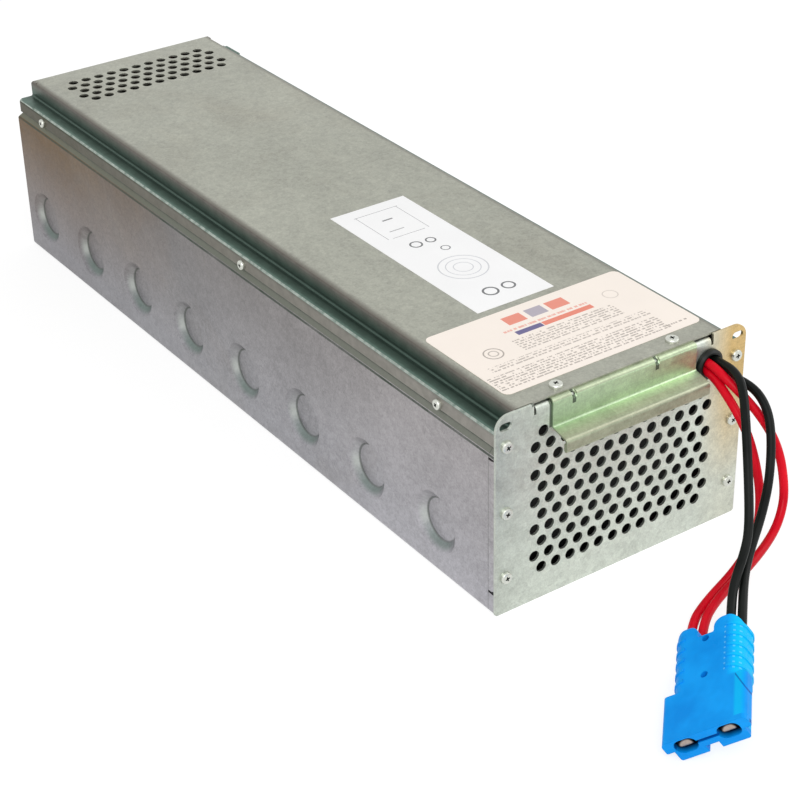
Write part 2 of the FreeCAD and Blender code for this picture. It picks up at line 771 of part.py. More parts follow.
def block_y(half_x, low, high, radii, y0, y1):
    """Prism along Y with its own radius on each corner: lower right, upper right, upper left, lower left."""
    corners = [(0.0, low), (half_x, low), (half_x, high), (-half_x, high), (-half_x, low), (0.0, low)]
    face = Part.Face(Part.Wire(rounded_edges(corners, [0.0] + radii + [0.0], on_xz(y0))))
    return face.extrude(V(0, y1 - y0, 0))


hood_radii = [hood_lower_r, hood_upper_r, hood_upper_r, hood_lower_r]
hood = block_y(hood_half, -hood_thick, 0.0, hood_radii, 0.0, mating_length)
nose_radii = [nose_lower_r, 0.0, 0.0, nose_lower_r]
nose = block_y(nose_half, -nose_thick, -hood_thick, nose_radii, 0.0, mating_length)
keyway = box(-keyway_half, -1, -nose_thick - 1, keyway_half, keyway_length, keyway_height - nose_thick)
nose = nose.cut(keyway)
grip_corners = [
    (0.0, con_length - valley_depth), (lobe_inner, con_length - valley_depth), (lobe_inner, con_length),
    (grip_half, con_length), (grip_half, mating_length), (-grip_half, mating_length),
    (-grip_half, con_length),
    (-lobe_inner, con_length), (-lobe_inner, con_length - valley_depth), (0.0, con_length - valley_depth),
]
grip_radii = [
    0.0, valley_r, lobe_inner_r, lobe_outer_r, 0.0, 0.0, lobe_outer_r, lobe_inner_r, valley_r, 0.0,
]
plan = Part.Face(Part.Wire(rounded_edges(grip_corners, grip_radii, on_xy(-grip_thick - 1))))
plan = plan.extrude(V(0, 0, grip_thick + 2))
grip = block_y(grip_half, -grip_thick, 0.0, [grip_corner_r] * 4, mating_length, con_length).common(plan)
housing = hood.fuse(nose).fuse(grip)
for k in range(rib_count):
    y0 = rib_first + k * rib_pitch - rib_length / 2
    rib = block_y(grip_half + rib_height, -grip_thick - rib_height, rib_height,
                  [grip_corner_r + rib_height] * 4, y0, y0 + rib_length)
    rib = rib.cut(box(-pole_x, y0 - 1, -grip_thick - 2, pole_x, y0 + rib_length + 1, 2))
    housing = housing.fuse(rib)
cuts = [box(-pole_x, -1, well_mid - groove_half, pole_x, groove_depth, well_mid + groove_half)]
for x in (-pole_x, pole_x):
    low, high = well_mid - well_height / 2, well_mid + well_height / 2
    well = block_y(well_width / 2, low, high, [well_r] * 4, -1, well_depth)
    well.translate(V(x, 0, 0))
    cuts.append(well)
for x in (-pole_x, pole_x):
    hole = box(-wire_run, con_length - wire_depth, -wire_hole_r, wire_run, con_length + 2, wire_hole_r)
    for side in (-1, 1):
        start = V(side * wire_run, con_length - wire_depth, 0)
        hole = hole.fuse(rod(wire_hole_r, start, V(0, 1, 0), wire_depth + 2))
    hole.rotate(V(0, 0, 0), V(0, 1, 0), math.degrees(math.atan2(-wire_step[1], wire_step[0])))
    hole.translate(V(x, 0, wire_level))
    cuts.append(hole)
for y in pin_hole_y:
    cuts.append(Part.makeCylinder(pin_hole_r, pin_hole_depth + 1, V(0, y, -pin_hole_depth)))
housing = housing.cut(Part.makeCompound(cuts)).removeSplitter()
save("connector_housing", [connector_place(housing)])

# Silver contacts with leaf springs under them
contacts = []
springs = []
for x in (-pole_x, pole_x):
    bar = box(x - contact_half, contact_front, well_mid - contact_base,
              x + contact_half, well_depth, well_mid + contact_nose_r)
    nose = rod(contact_nose_r, V(x - contact_half, contact_front, well_mid), V(1, 0, 0), 2 * contact_half)
    contacts.append(bar.fuse(nose).removeSplitter())
    spring_top = well_mid - spring_gap
    springs.append(box(x - spring_half, spring_front, spring_top - spring_thick,
                       x + spring_half, well_depth, spring_top))
save("positive_contact", [connector_place(contacts[0])])
save("negative_contact", [connector_place(contacts[1])])
save("contact_springs", [connector_place(s) for s in springs])

# Free leads: hand-chosen points from the grommet to the lobes of the connector
free_leads = {
    "black_lead_1": [
        (58.0, -17.5, 105.5), (54.5, -28.0, 102.5), (44.5, -42.0, 91.5), (31.0, -60.5, 70.0),
        (21.5, -72.5, 55.0), (14.0, -79.0, 48.0), (-2.5, -88.5, 38.0),
    ],
    "black_lead_2": [
        (63.5, -23.5, 98.5), (64.0, -34.5, 93.5), (60.5, -44.5, 84.0), (48.5, -58.0, 66.0),
        (34.5, -68.0, 53.5), (18.0, -77.5, 42.5), (7.0, -86.0, 37.0),
    ],
    "red_lead_1": [
        (51.0, -22.5, 93.5), (50.5, -33.0, 85.5), (50.5, -41.0, 76.0), (49.5, -50.5, 56.0),
        (44.5, -57.0, 39.5), (37.5, -60.0, 31.0), (22.5, -65.0, 23.0), (-7.5, -74.5, 20.5),
    ],
    "red_lead_2": [
        (54.0, -17.5, 101.0), (61.0, -33.5, 88.0), (67.0, -44.5, 70.0), (67.5, -51.0, 47.0),
        (61.5, -55.5, 35.5), (51.0, -60.0, 28.0), (27.5, -69.0, 25.0), (-3.5, -78.5, 23.5),
    ],
}
quadrant = {"black_lead_1": (1, 1), "black_lead_2": (1, -1), "red_lead_1": (-1, -1), "red_lead_2": (-1, 1)}
lobe_of = {"black_lead_1": (1, -1), "black_lead_2": (1, 1), "red_lead_1": (-1, -1), "red_lead_2": (-1, 1)}
for name, middle in free_leads.items():
    sx, sz = quadrant[name]
    x, z = grommet_x + sx * lead_spread, grommet_z + sz * lead_spread
    lobe, way = lobe_of[name]
    u = lobe * pole_x + way * wire_step[0]
    h = wire_level + way * wire_step[1]
    end = con_origin + con_across * u + con_up * h + con_rearward * (con_length - wire_depth)
    near = end + con_rearward * (wire_depth + wire_run_out)
    points = [(x, inner_start, z), (x, -6.0, z)] + middle + [tuple(near), tuple(end)]
    print(name, [tuple(round(c, 1) for c in p) for p in points])
    save(name, [tube(points, lead_d, name, quiet=False)])
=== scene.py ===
import math

import bmesh
import bpy
from bpy.props import FloatProperty, FloatVectorProperty, IntProperty, PointerProperty
from bpy.types import Operator, Panel, PropertyGroup
from mathutils import Matrix, Vector


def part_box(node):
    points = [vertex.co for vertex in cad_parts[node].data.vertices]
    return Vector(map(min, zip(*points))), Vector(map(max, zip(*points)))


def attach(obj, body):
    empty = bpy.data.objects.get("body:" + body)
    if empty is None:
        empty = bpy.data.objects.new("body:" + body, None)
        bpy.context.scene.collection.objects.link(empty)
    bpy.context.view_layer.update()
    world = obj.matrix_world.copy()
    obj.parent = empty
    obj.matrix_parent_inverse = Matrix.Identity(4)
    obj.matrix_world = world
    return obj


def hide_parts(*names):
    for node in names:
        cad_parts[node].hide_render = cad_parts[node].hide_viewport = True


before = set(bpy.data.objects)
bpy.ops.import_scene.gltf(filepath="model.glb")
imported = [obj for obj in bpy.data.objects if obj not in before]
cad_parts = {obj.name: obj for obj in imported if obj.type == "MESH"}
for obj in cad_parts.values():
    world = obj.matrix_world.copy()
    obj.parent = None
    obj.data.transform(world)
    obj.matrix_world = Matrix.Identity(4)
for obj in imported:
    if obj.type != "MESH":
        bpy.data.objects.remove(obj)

bl_info = {
    "name": "Battery cartridge looks",
    "version": (1, 0, 0),
    "blender": (4, 5, 0),
    "location": "3D View > Sidebar > Cartridge",
    "description": "Finishes, leads, screws and studio for a sheet-steel battery cartridge",
    "category": "Object",
}

BODY = "root"


def screen(red, green, blue):
    """Linear colour of a value that is read on a screen."""
    return tuple((c / 12.92) if c < 0.04045 else ((c + 0.055) / 1.055) ** 2.4 for c in (red, green, blue))


def tint(name, description, shown):
    return FloatVectorProperty(
        name=name, description=description, subtype="COLOR", size=3, min=0.0, max=1.0,
        default=screen(*shown))


def metres(name, description, default, lowest=0.0):
    return FloatProperty(
        name=name, description=description, default=default, min=lowest, unit="LENGTH", precision=5)


class CartridgeFinishes(PropertyGroup):
    """Colours and sheens of the cartridge."""
    galvanised: tint("Galvanised sheet", "Mean colour of the cover's top", (0.66, 0.665, 0.62))
    # The six side tones are painted shade: darker towards the rear and the top, browner at the rear top,
    # lighter near the panel and low down.
    side_shade_front_high: tint("Side, front top", "Upper side near the panel", (0.635, 0.62, 0.625))
    side_shade_front_low: tint("Side, front bottom", "Lower side near the panel", (0.67, 0.665, 0.685))
    side_shade_middle_high: tint("Side, middle top", "Upper side at half length", (0.475, 0.463, 0.458))
    side_shade_middle_low: tint("Side, middle bottom", "Lower side at half length", (0.58, 0.58, 0.595))
    side_shade_rear_high: tint("Side, rear top", "Upper side near the rear", (0.41, 0.325, 0.22))
    side_shade_rear_low: tint("Side, rear bottom", "Lower side near the rear", (0.54, 0.535, 0.55))
    # Painted shade: the cover flange darkens and browns towards the rear, like the side.
    flange_shade_front: tint("Flange, front", "Cover flange near the panel", (0.56, 0.545, 0.52))
    flange_shade_rear: tint("Flange, rear", "Cover flange near the rear", (0.255, 0.24, 0.17))
    joggle: tint("Joggle", "Band between the two dark lines of the side", (0.43, 0.45, 0.40))
    tarnish: tint("Tarnish", "Brown-grey stain in the zinc", (0.52, 0.48, 0.42))
    # Painted shade: dark lines under the flange and at the joggle, round the dimple floors, at the tray's
    # front bend, next to the handle and in its slots.
    seam: tint("Seam", "Dark line under the flange and along the joggle", (0.25, 0.29, 0.25))
    # Painted shade: the step wall of the cover, the corner at its foot and the bend above it.
    step_shade_low: tint("Step, low", "Dull green in the foot of the cover step", (0.29, 0.375, 0.34))
    step_shade_high: tint("Step, high", "Brown-grey near the top of the cover step", (0.41, 0.39, 0.365))
    ledge: tint("Ledge", "Dull green of the narrow ledge", (0.37, 0.46, 0.42))
    # Painted highlight: the bright line along the ledge's edge and on the rear rims of the dimples.
    rim: tint("Rim", "Bright worn edge of the ledge", (0.76, 0.79, 0.76))
    panel: tint("Front panel", "Mean colour of the front panel", (0.79, 0.815, 0.775))
    # Painted reflection: the warm tint at the right ear of the front panel.
    ear_reflection: tint("Chromate tint", "Warm tint of the plating", (0.80, 0.69, 0.475))
    # The handle's pale green is a painted reflection, and its duller left end painted shade.
    handle: tint("Handle", "Pale green-grey of the handle", (0.83, 0.92, 0.76))
    handle_shade: tint("Handle, left", "Duller green of its left end", (0.69, 0.78, 0.64))
    handle_lip: tint("Handle lip", "Grey of the front lip", (0.66, 0.66, 0.575))
    screw: tint("Screws", "Zinc plated screw heads", (0.84, 0.85, 0.815))
    red_cover: tint("Red lead", "Insulation of the red leads", (0.85, 0.0, 0.12))
    black_cover: tint("Black lead", "Insulation of the black leads", (0.03, 0.05, 0.042))
    housing: tint("Connector", "Blue moulding of the connector", (0.0, 0.60, 0.985))
    # Painted light: the lighter cyan of the flank and the bright band along its rounded edge.
    housing_lit_flank: tint("Connector flank", "Lighter cyan of the flank", (0.0, 0.78, 1.0))
    contact: tint("Contacts", "Worn silver plated contacts", (0.70, 0.645, 0.61))
    battery: tint("Battery case", "Near black moulding", (0.03, 0.032, 0.034))
    cream: tint("Cream label", "Paper of the wide label", (0.985, 0.945, 0.905))
    white: tint("White label", "Paper of the long label", (0.985, 0.985, 0.985))
    steel_roughness: FloatProperty(
        name="Steel roughness", description="Mean roughness of the galvanised sheet", default=0.42,
        min=0.05, max=1.0)


class CartridgeSizes(PropertyGroup):
    """Sizes of the pieces that are modelled here, and places that the finishes follow."""
    lead_diameter: metres("Lead diameter", "Outer diameter of one lead", 0.0048)
    recess_width: metres("Recess width", "Width of one arm of the cross recess", 0.0010)
    recess_depth: metres("Recess depth", "Depth of the cross recess", 0.0014)
    head_segments: IntProperty(
        name="Head segments", description="Sides of a round head", default=32, min=12, max=64)
    edge_radius: metres("Edge radius", "Softening of cut edges", 0.0003)
    hat_middle: metres("Hat middle", "Middle of the raised part of the cover", -0.00225, -1.0)
    hat_half: metres("Hat half width", "Half the width of the raised part of the cover", 0.06825)
    dimple_first: metres("First dimple", "Place of the front dimple along the case", -0.2088, -1.0)
    dimple_pitch: metres("Dimple pitch", "Distance between dimples", 0.0651)
    dimple_height: metres("Dimple height", "Height of the dimple centres", 0.030)


class StudioSettings(PropertyGroup):
    """Floor, lamps and camera."""
    lens: FloatProperty(name="Lens", description="Focal length on a 36 mm sensor", default=91.35, min=10.0,
                        unit="CAMERA")
    camera_place: FloatVectorProperty(name="Camera", description="Place of the camera", subtype="XYZ",
                                      unit="LENGTH", default=(-0.58677, -0.92721, 0.63335))
    key_power: FloatProperty(name="Key lamp", description="Power of the large lamp at the front left",
                             default=20.0, min=0.0, unit="POWER")
    fill_power: FloatProperty(name="Fill lamp", description="Power of the lamp at the right",
                              default=9.0, min=0.0, unit="POWER")
    sky: FloatProperty(name="Sky", description="Strength of the sky on matt surfaces", default=0.64, min=0.0)
    floor_size: metres("Floor size", "Side of the square floor", 8.0)


# Node helpers: every pattern is laid on Object coordinates, in metres
def start_material(name):
    material = bpy.data.materials.new(name)
    material.use_nodes = True
    tree = material.node_tree
    return material, tree, tree.nodes["Principled BSDF"]


def add(tree, kind, **settings):
    """New shader node of one kind."""
    node = tree.nodes.new("ShaderNode" + kind)
    for key, value in settings.items():
        setattr(node, key, value)
    return node


def feed(tree, socket, value):
    """Link an output to a socket, or set a plain value on it."""
    if isinstance(value, bpy.types.NodeSocket):
        tree.links.new(value, socket)
    elif socket.type == "RGBA":
        socket.default_value = (*value, 1.0)
    else:
        socket.default_value = value


def preset(node, **values):
    """Plain values for inputs of a node."""
    for name, value in values.items():
        node.inputs[name].default_value = value


def paint(tree, shader, colour):
    feed(tree, shader.inputs["Base Color"], colour)


def place(tree, stretch=(1.0, 1.0, 1.0)):
    """Object coordinates, stretched."""
    where = add(tree, "TexCoord")
    mapping = add(tree, "Mapping")
    preset(mapping, Scale=stretch)
    tree.links.new(where.outputs["Object"], mapping.inputs["Vector"])
    return mapping.outputs["Vector"]


def noise(tree, scale, detail=3.0, rough=0.55, stretch=(1.0, 1.0, 1.0), warp=0.0):
    texture = add(tree, "TexNoise")
    tree.links.new(place(tree, stretch), texture.inputs["Vector"])
    preset(texture, Scale=scale, Detail=detail, Roughness=rough, Distortion=warp)
    return texture.outputs["Fac"]


def cells(tree, scale):
    """Crystal-like patches of a zinc coat: one random value for each."""
    texture = add(tree, "TexVoronoi")
    tree.links.new(place(tree), texture.inputs["Vector"])
    preset(texture, Scale=scale)
    split = add(tree, "SeparateColor")
    tree.links.new(texture.outputs["Color"], split.inputs["Color"])
    return split.outputs["Red"]


def spread(value, low, high, to_low=0.0, to_high=1.0):
    """Stretch a range of values to another one, cut off at its ends."""
    tree = value.id_data
    node = add(tree, "MapRange")
    feed(tree, node.inputs["Value"], value)
    for socket, number in zip(("From Min", "From Max", "To Min", "To Max"), (low, high, to_low, to_high)):
        node.inputs[socket].default_value = number
    return node.outputs["Result"]


def maths(operation):
    """Helper for one operation of the Math node; its first value is a socket."""
    def work(first, second=0.0):
        tree = first.id_data
        node = add(tree, "Math", operation=operation)
        feed(tree, node.inputs[0], first)
        feed(tree, node.inputs[1], second)
        return node.outputs["Value"]
    return work


above, below, larger = maths("GREATER_THAN"), maths("LESS_THAN"), maths("MAXIMUM")
plus, minus, times, ratio = maths("ADD"), maths("SUBTRACT"), maths("MULTIPLY"), maths("DIVIDE")
size_of, root_of, fraction, whole = maths("ABSOLUTE"), maths("SQRT"), maths("FRACT"), maths("FLOOR")


def blend(tree, factor, first, second, way="MIX"):
    node = add(tree, "Mix", data_type="RGBA", blend_type=way)
    feed(tree, node.inputs["Factor"], factor)
    feed(tree, node.inputs[6], first)
    feed(tree, node.inputs[7], second)
    return node.outputs[2]


def axes(tree):
    """The three Object coordinates of the shaded point."""
    where = add(tree, "TexCoord")
    split = add(tree, "SeparateXYZ")
    tree.links.new(where.outputs["Object"], split.inputs["Vector"])
    return split.outputs["X"], split.outputs["Y"], split.outputs["Z"]


def between(value, low, high):
    """One between two limits and zero outside them."""
    return times(above(value, low), below(value, high))


def distance(first, second):
    """Length of two offsets that stand square to each other."""
    return root_of(plus(times(first, first), times(second, second)))


def soft_edges(tree, shader, height=None, strength=0.3, deep=0.0002, radius=0.0003):
    """Softened edges, with a fine relief on top where a height is given."""
    edge = add(tree, "Bevel", samples=4)
    preset(edge, Radius=radius)
    normal = edge.outputs["Normal"]
    if height is not None:
        relief = add(tree, "Bump")
        preset(relief, Strength=strength, Distance=deep)
        tree.links.new(height, relief.inputs["Height"])
        tree.links.new(normal, relief.inputs["Normal"])
        normal = relief.outputs["Normal"]
    tree.links.new(normal, shader.inputs["Normal"])


def mottled(tree, amount, broad, fine_scale=900.0):
    """Uneven brightness around one: broad clouds, crackle, small crystals and fine grain."""
    clouds = spread(noise(tree, broad, 4.0, 0.6, (1.0, 0.6, 1.0), 0.5), 0.30, 0.70, -0.35, 0.35)
    patches = spread(noise(tree, 130.0, 5.0, 0.68, (1.0, 0.7, 1.0), 0.9), 0.30, 0.70, -0.5, 0.5)
    crystals = spread(cells(tree, 430.0), 0.0, 1.0, -0.28, 0.28)
    grain = noise(tree, fine_scale, 3.0, 0.7)
    fine = spread(grain, 0.30, 0.70, -0.55, 0.55)
    total = plus(plus(clouds, patches), plus(crystals, fine))
    return plus(times(total, amount), 1.0), patches, grain


def zinc(tree, base, stain, amount=0.13, broad=13.0, stained=0.35):
    """A base colour with the stains and the uneven brightness of a zinc coat."""
    shade, patches, grain = mottled(tree, amount, broad)
    stains = spread(noise(tree, 9.0, 6.0, 0.65, (1.0, 1.0, 1.0), 1.2), 0.50, 0.72, 0.0, stained)
    colour = blend(tree, stains, base, stain)
    return blend(tree, 1.0, colour, shade, "MULTIPLY"), patches, grain


def finish_steel(tree, shader, colour, patches, grain, roughness, edge_radius):
    paint(tree, shader, colour)
    preset(shader, Metallic=0.9)
    rough = spread(patches, -0.5, 0.5, roughness - 0.05, roughness + 0.08)
    feed(tree, shader.inputs["Roughness"], rough)
    soft_edges(tree, shader, grain, 0.12, 0.0001, edge_radius)


def layered(tree, colour, *layers):
    """A colour with others laid over it in turn, each through its mask."""
    for mask, upper in layers:
        colour = blend(tree, mask, colour, upper)
    return colour


def both(*masks):
    """Product of masks."""
    product = masks[0]
    for mask in masks[1:]:
        product = times(product, mask)
    return product


# Places on the case that the finishes follow, in metres
SIDE_PLANE = 0.0782
JOGGLE_BAND = (0.0964, 0.0990)
SHADE_LINE_BANDS = ((0.0950, 0.0961), (0.0991, 0.1002))
LEDGE_BAND = (0.1060, 0.1092)
FLANGE_TOP = 0.1072
RIM_BAND = (0.1073, 0.1086)
STEP_FOOT = 0.1078
CREASE_BAND = (0.1079, 0.1109)
STEP_BLEND = (0.1120, 0.1185)
ROUNDING_FOOT = 0.1165
TAB_FOOT = 0.1020


def shade_lines(tree, colour, finishes, strip):
    """Two dark lines of painted shade along the sides: under the cover flange and at the foot of the joggle.
    """
    across, _, up = axes(tree)
    outer = above(size_of(across), SIDE_PLANE)
    uneven = spread(noise(tree, 70.0, 4.0, 0.6), 0.3, 0.65, 0.55, 0.95)
    between_lines = both(outer, between(up, *JOGGLE_BAND), strip)
    colour = blend(tree, between_lines, colour, finishes.joggle)
    for low, high in SHADE_LINE_BANDS:
        line = both(outer, between(up, low, high), uneven)
        colour = blend(tree, line, colour, finishes.seam)
    return colour


def dimple_light_and_shade(tree, colour, finishes, sizes):
    """Painted light on the dimple rings: a dark line of painted shade round the floor, a painted highlight on
    the rear rim and painted shade on the lower one.
    """
    across, along, up = axes(tree)
    turn = ratio(minus(along, sizes.dimple_first), sizes.dimple_pitch)
    part = minus(fraction(plus(turn, 0.5)), 0.5)
    dy = times(part, sizes.dimple_pitch)
    dz = minus(up, sizes.dimple_height)
    reach = distance(dy, dz)
    on_side = above(size_of(across), 0.0755)
    last = sizes.dimple_first + 7 * sizes.dimple_pitch
    in_row = between(along, sizes.dimple_first - 0.02, last + 0.02)
    here = both(on_side, in_row)
    rearward = ratio(dy, reach)
    upward = ratio(dz, reach)
    slope = both(spread(reach, 0.0122, 0.0132), spread(reach, 0.0148, 0.0172, 1.0, 0.0))
    # Painted highlight on the rear rim, painted shade on the lower rim and round the floor.
    bright = both(here, slope, spread(rearward, 0.45, 0.85, 0.0, 0.50),
                  spread(upward, -0.70, -0.35), spread(upward, -0.15, 0.30, 1.0, 0.2))
    dull = both(here, slope, spread(upward, -0.35, -0.9, 0.0, 0.60))
    line = both(here, spread(reach, 0.0117, 0.0122),
                spread(reach, 0.0128, 0.0133, 1.0, 0.0), spread(rearward, -0.9, 0.4, 0.25, 0.60))
    return layered(tree, colour, (bright, finishes.rim), (dull, finishes.ledge), (line, finishes.seam))


def tray_steel(finishes, sizes):
    """Tray: painted shade along the sides, brown-grey and darkest near the rear top, lilac-grey below and
    lighter towards the panel.
    """
    material, tree, shader = start_material("tray_sheet")
    across, along, up = axes(tree)
    low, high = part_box("base_tray")
    # Painted shade: the side tones darken towards the rear and the top.
    raised = spread(up, 0.012, 0.090)
    front = blend(tree, raised, finishes.side_shade_front_low, finishes.side_shade_front_high)
    rear = blend(tree, raised, finishes.side_shade_rear_low, finishes.side_shade_rear_high)
    middle = blend(tree, raised, finishes.side_shade_middle_low, finishes.side_shade_middle_high)
    wander = spread(noise(tree, 11.0, 4.0, 0.6), 0.3, 0.7, -0.05, 0.05)
    place_along = plus(along, wander)
    base = blend(tree, spread(place_along, low.y + 0.01, 0.03), front, middle)
    base = blend(tree, spread(place_along, 0.03, high.y - 0.05), base, rear)
    left = spread(across, -0.078, -0.055, 1.0, 0.45)
    base = blend(tree, left, finishes.galvanised, base)
    colour, patches, grain = zinc(tree, base, finishes.tarnish, 0.26, 17.0, 0.16)
    colour = shade_lines(tree, colour, finishes, 0.8)
    colour = dimple_light_and_shade(tree, colour, finishes, sizes)
    # Painted shade: a dark line in the front bend of the sides.
    fold_shade = between(along, low.y + 0.0042, low.y + 0.0048)
    colour = blend(tree, times(fold_shade, 0.40), colour, finishes.seam)
    finish_steel(tree, shader, colour, patches, grain, finishes.steel_roughness, sizes.edge_radius)
    return material


def cover_steel(finishes, sizes):
    """Cover: green-grey top and dull green ledge; painted shade on the step, darkest in the corner at its
    foot and on the bend above it; a painted highlight on the rim; a brown-grey flange with painted shade
    towards the rear.
    """
    material, tree, shader = start_material("cover_sheet")
    colour, patches, grain = zinc(tree, finishes.galvanised, finishes.tarnish, 0.22, 14.0, 0.20)
    across, along, up = axes(tree)
    low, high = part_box("top_cover")
    past = minus(size_of(minus(across, sizes.hat_middle)), sizes.hat_half)
    uneven = spread(noise(tree, 160.0, 4.0, 0.65), 0.3, 0.7, 0.82, 1.12)
    # Painted shade: the bend at the top of the step, the step wall and the corner at its foot are darkened.
    rounding_shade = both(spread(past, -0.0042, -0.0006, 0.0, 0.85), above(up, ROUNDING_FOOT))
    wall_shade_tone = blend(tree, spread(up, *STEP_BLEND), finishes.step_shade_low, finishes.step_shade_high)
    wall = both(above(past, -0.0006), above(up, STEP_FOOT), 0.93)
    crease_shade = both(between(past, -0.0008, 0.0028), between(up, *CREASE_BAND), 0.55)
    ledge = both(spread(past, 0.0030, 0.0075), between(up, *LEDGE_BAND), 0.9)
    outward = size_of(across)
    # Painted shade: the flange darkens towards the rear.
    flange_shade_tone = blend(tree, spread(along, low.y, high.y - 0.06), finishes.flange_shade_front,
                        finishes.flange_shade_rear)
    flange = both(above(outward, high.x - 0.0006), below(up, FLANGE_TOP), 0.9)
    # Painted highlight: bright line on the bend at the ledge's edge.
    rim = both(above(outward, high.x - 0.0012), between(up, *RIM_BAND),
               spread(noise(tree, 240.0, 3.0), 0.35, 0.6, 0.2, 0.7))
    colour = layered(
        tree, colour,
        (rounding_shade, finishes.step_shade_high),
        (wall, blend(tree, 1.0, wall_shade_tone, uneven, "MULTIPLY")),
        (crease_shade, tuple(c * 0.62 for c in finishes.step_shade_low)),
        (ledge, blend(tree, 1.0, finishes.ledge, uneven, "MULTIPLY")),
        (flange, blend(tree, 1.0, flange_shade_tone, uneven, "MULTIPLY")),
        (rim, finishes.rim))
    colour = shade_lines(tree, colour, finishes, 0.0)
    finish_steel(tree, shader, colour, patches, grain, finishes.steel_roughness, sizes.edge_radius)
    return material


def panel_steel(finishes, sizes):
    """Front panel: fine light zinc, with painted shade towards the left and a painted warm reflection at the
    right ear.
    """
    material, tree, shader = start_material("panel_sheet")
    across, _, up = axes(tree)
    low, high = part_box("front_panel")
    # Painted shade: darker towards the left edge.
    dull = tuple(c * 0.80 for c in finishes.panel)
    base = blend(tree, spread(across, low.x + 0.004, low.x + 0.030, 0.75, 0.0), finishes.panel, dull)
    # Painted warm reflection at the right ear.
    warm = both(spread(across, high.x - 0.030, high.x - 0.010), spread(up, 0.025, 0.085, 0.10, 1.0))
    base = blend(tree, warm, base, finishes.ear_reflection)
    colour, patches, grain = zinc(tree, base, finishes.tarnish, 0.22, 30.0, 0.04)
    handle_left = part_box("pull_handle")[0].x
    # Painted shadows: a dark line next to the handle's left edge, and one under the cover's front edge left
    # of the handle.
    handle_side_shadow = both(between(across, handle_left - 0.0014, handle_left + 0.0004), above(up, TAB_FOOT), 0.8)
    lid = both(between(across, handle_left - 0.0125, handle_left + 0.0004), above(up, high.z - 0.0011), 0.7)
    colour = layered(tree, colour, (handle_side_shadow, finishes.seam), (lid, finishes.seam))
    finish_steel(tree, shader, colour, patches, grain, finishes.steel_roughness - 0.02, sizes.edge_radius)
    return material


def handle_steel(finishes, sizes):
    """Handle: pale green plate whose green is a painted reflection, darker at the left with painted shade,
    with a grey speckled lip and fine lines along it.
    """
    material, tree, shader = start_material("handle_sheet")
    across, _, up = axes(tree)
    low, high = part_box("pull_handle")
    # Painted shade at the left end, painted reflection in the green.
    base = blend(tree, spread(across, low.x, high.x), finishes.handle_shade, finishes.handle)
    flat_top = above(up, high.z - 0.0016)
    base = blend(tree, times(flat_top, 0.6), base, finishes.handle_lip)
    lip = spread(up, low.z + 0.0088, low.z + 0.0100, 0.95, 0.0)
    base = blend(tree, lip, base, finishes.handle_lip)
    drawn = noise(tree, 60.0, 3.0, 0.6, (0.25, 18.0, 18.0))
    base = blend(tree, spread(drawn, 0.4, 0.62, 0.0, 0.28), base, finishes.handle_shade)
    colour, patches, grain = zinc(tree, base, finishes.tarnish, 0.20, 26.0, 0.05)
    # Painted shade: two dark slots near the top edge of the handle.
    for middle in (-0.0340, 0.0200):
        slot_shade = both(between(across, middle - 0.0013, middle + 0.0010), above(up, high.z - 0.0062), 0.85)
        colour = blend(tree, slot_shade, colour, finishes.seam)
    finish_steel(tree, shader, colour, patches, grain, finishes.steel_roughness - 0.04, sizes.edge_radius)
    return material


def plain_metal(name, colour, metallic, roughness, edge_radius):
    material, tree, shader = start_material(name)
    stain = tuple(c * 0.72 for c in colour)
    spots = spread(noise(tree, 700.0, 3.0), 0.35, 0.7, 0.0, 0.5)
    paint(tree, shader, blend(tree, spots, colour, stain))
    preset(shader, Metallic=metallic)
    rough = spread(noise(tree, 300.0), 0.3, 0.7, roughness - 0.05, roughness + 0.1)
    feed(tree, shader.inputs["Roughness"], rough)
    soft_edges(tree, shader, None, radius=edge_radius)
    return material


def moulded_plastic(name, colour, roughness, grain_scale=900.0, relief=0.10, edge_radius=0.0004, gloss=0.3):
    """Moulded or extruded plastic with a faint uneven sheen."""
    material, tree, shader = start_material(name)
    worn = tuple(min(1.0, c * 1.18 + 0.006) for c in colour)
    dull = tuple(c * 0.86 for c in colour)
    broad = spread(noise(tree, 45.0, 3.0), 0.35, 0.68)
    paint(tree, shader, blend(tree, broad, dull, worn))
    fine = noise(tree, grain_scale, 2.0)
    feed(tree, shader.inputs["Roughness"], spread(broad, 0.0, 1.0, roughness - 0.05, roughness + 0.07))
    shader.inputs["Specular IOR Level"].default_value = gloss
    soft_edges(tree, shader, fine, relief, 0.00006, edge_radius)
    return material


# Place and directions of the connector: the middle of its top front edge, across, rearward and up
CONNECTOR_PLACE = Vector((-0.07495, -0.40852, 0.02143))
CONNECTOR_ACROSS = Vector((0.5473, -0.6306, 0.5503)).normalized()
CONNECTOR_UP = CONNECTOR_ACROSS.cross(Vector((0.6775, 0.7198, 0.1509))).normalized()
CONNECTOR_REAR = CONNECTOR_UP.cross(CONNECTOR_ACROSS)
POLE_OFFSET = 0.0114


def base_colour(material):
    """Tree, shader and the colour that a finished material has so far."""
    tree = material.node_tree
    shader = tree.nodes["Principled BSDF"]
    return tree, shader, shader.inputs["Base Color"].links[0].from_socket


def connector_axes(tree):
    """Distances across, rearward and up from the top front edge of the connector."""
    where = add(tree, "TexCoord")
    away = add(tree, "VectorMath", operation="SUBTRACT")
    tree.links.new(where.outputs["Object"], away.inputs[0])
    away.inputs[1].default_value = CONNECTOR_PLACE
    results = []
    for direction in (CONNECTOR_ACROSS, CONNECTOR_REAR, CONNECTOR_UP):
        dot = add(tree, "VectorMath", operation="DOT_PRODUCT")
        tree.links.new(away.outputs["Vector"], dot.inputs[0])
        dot.inputs[1].default_value = direction
        results.append(dot.outputs["Value"])
    return results


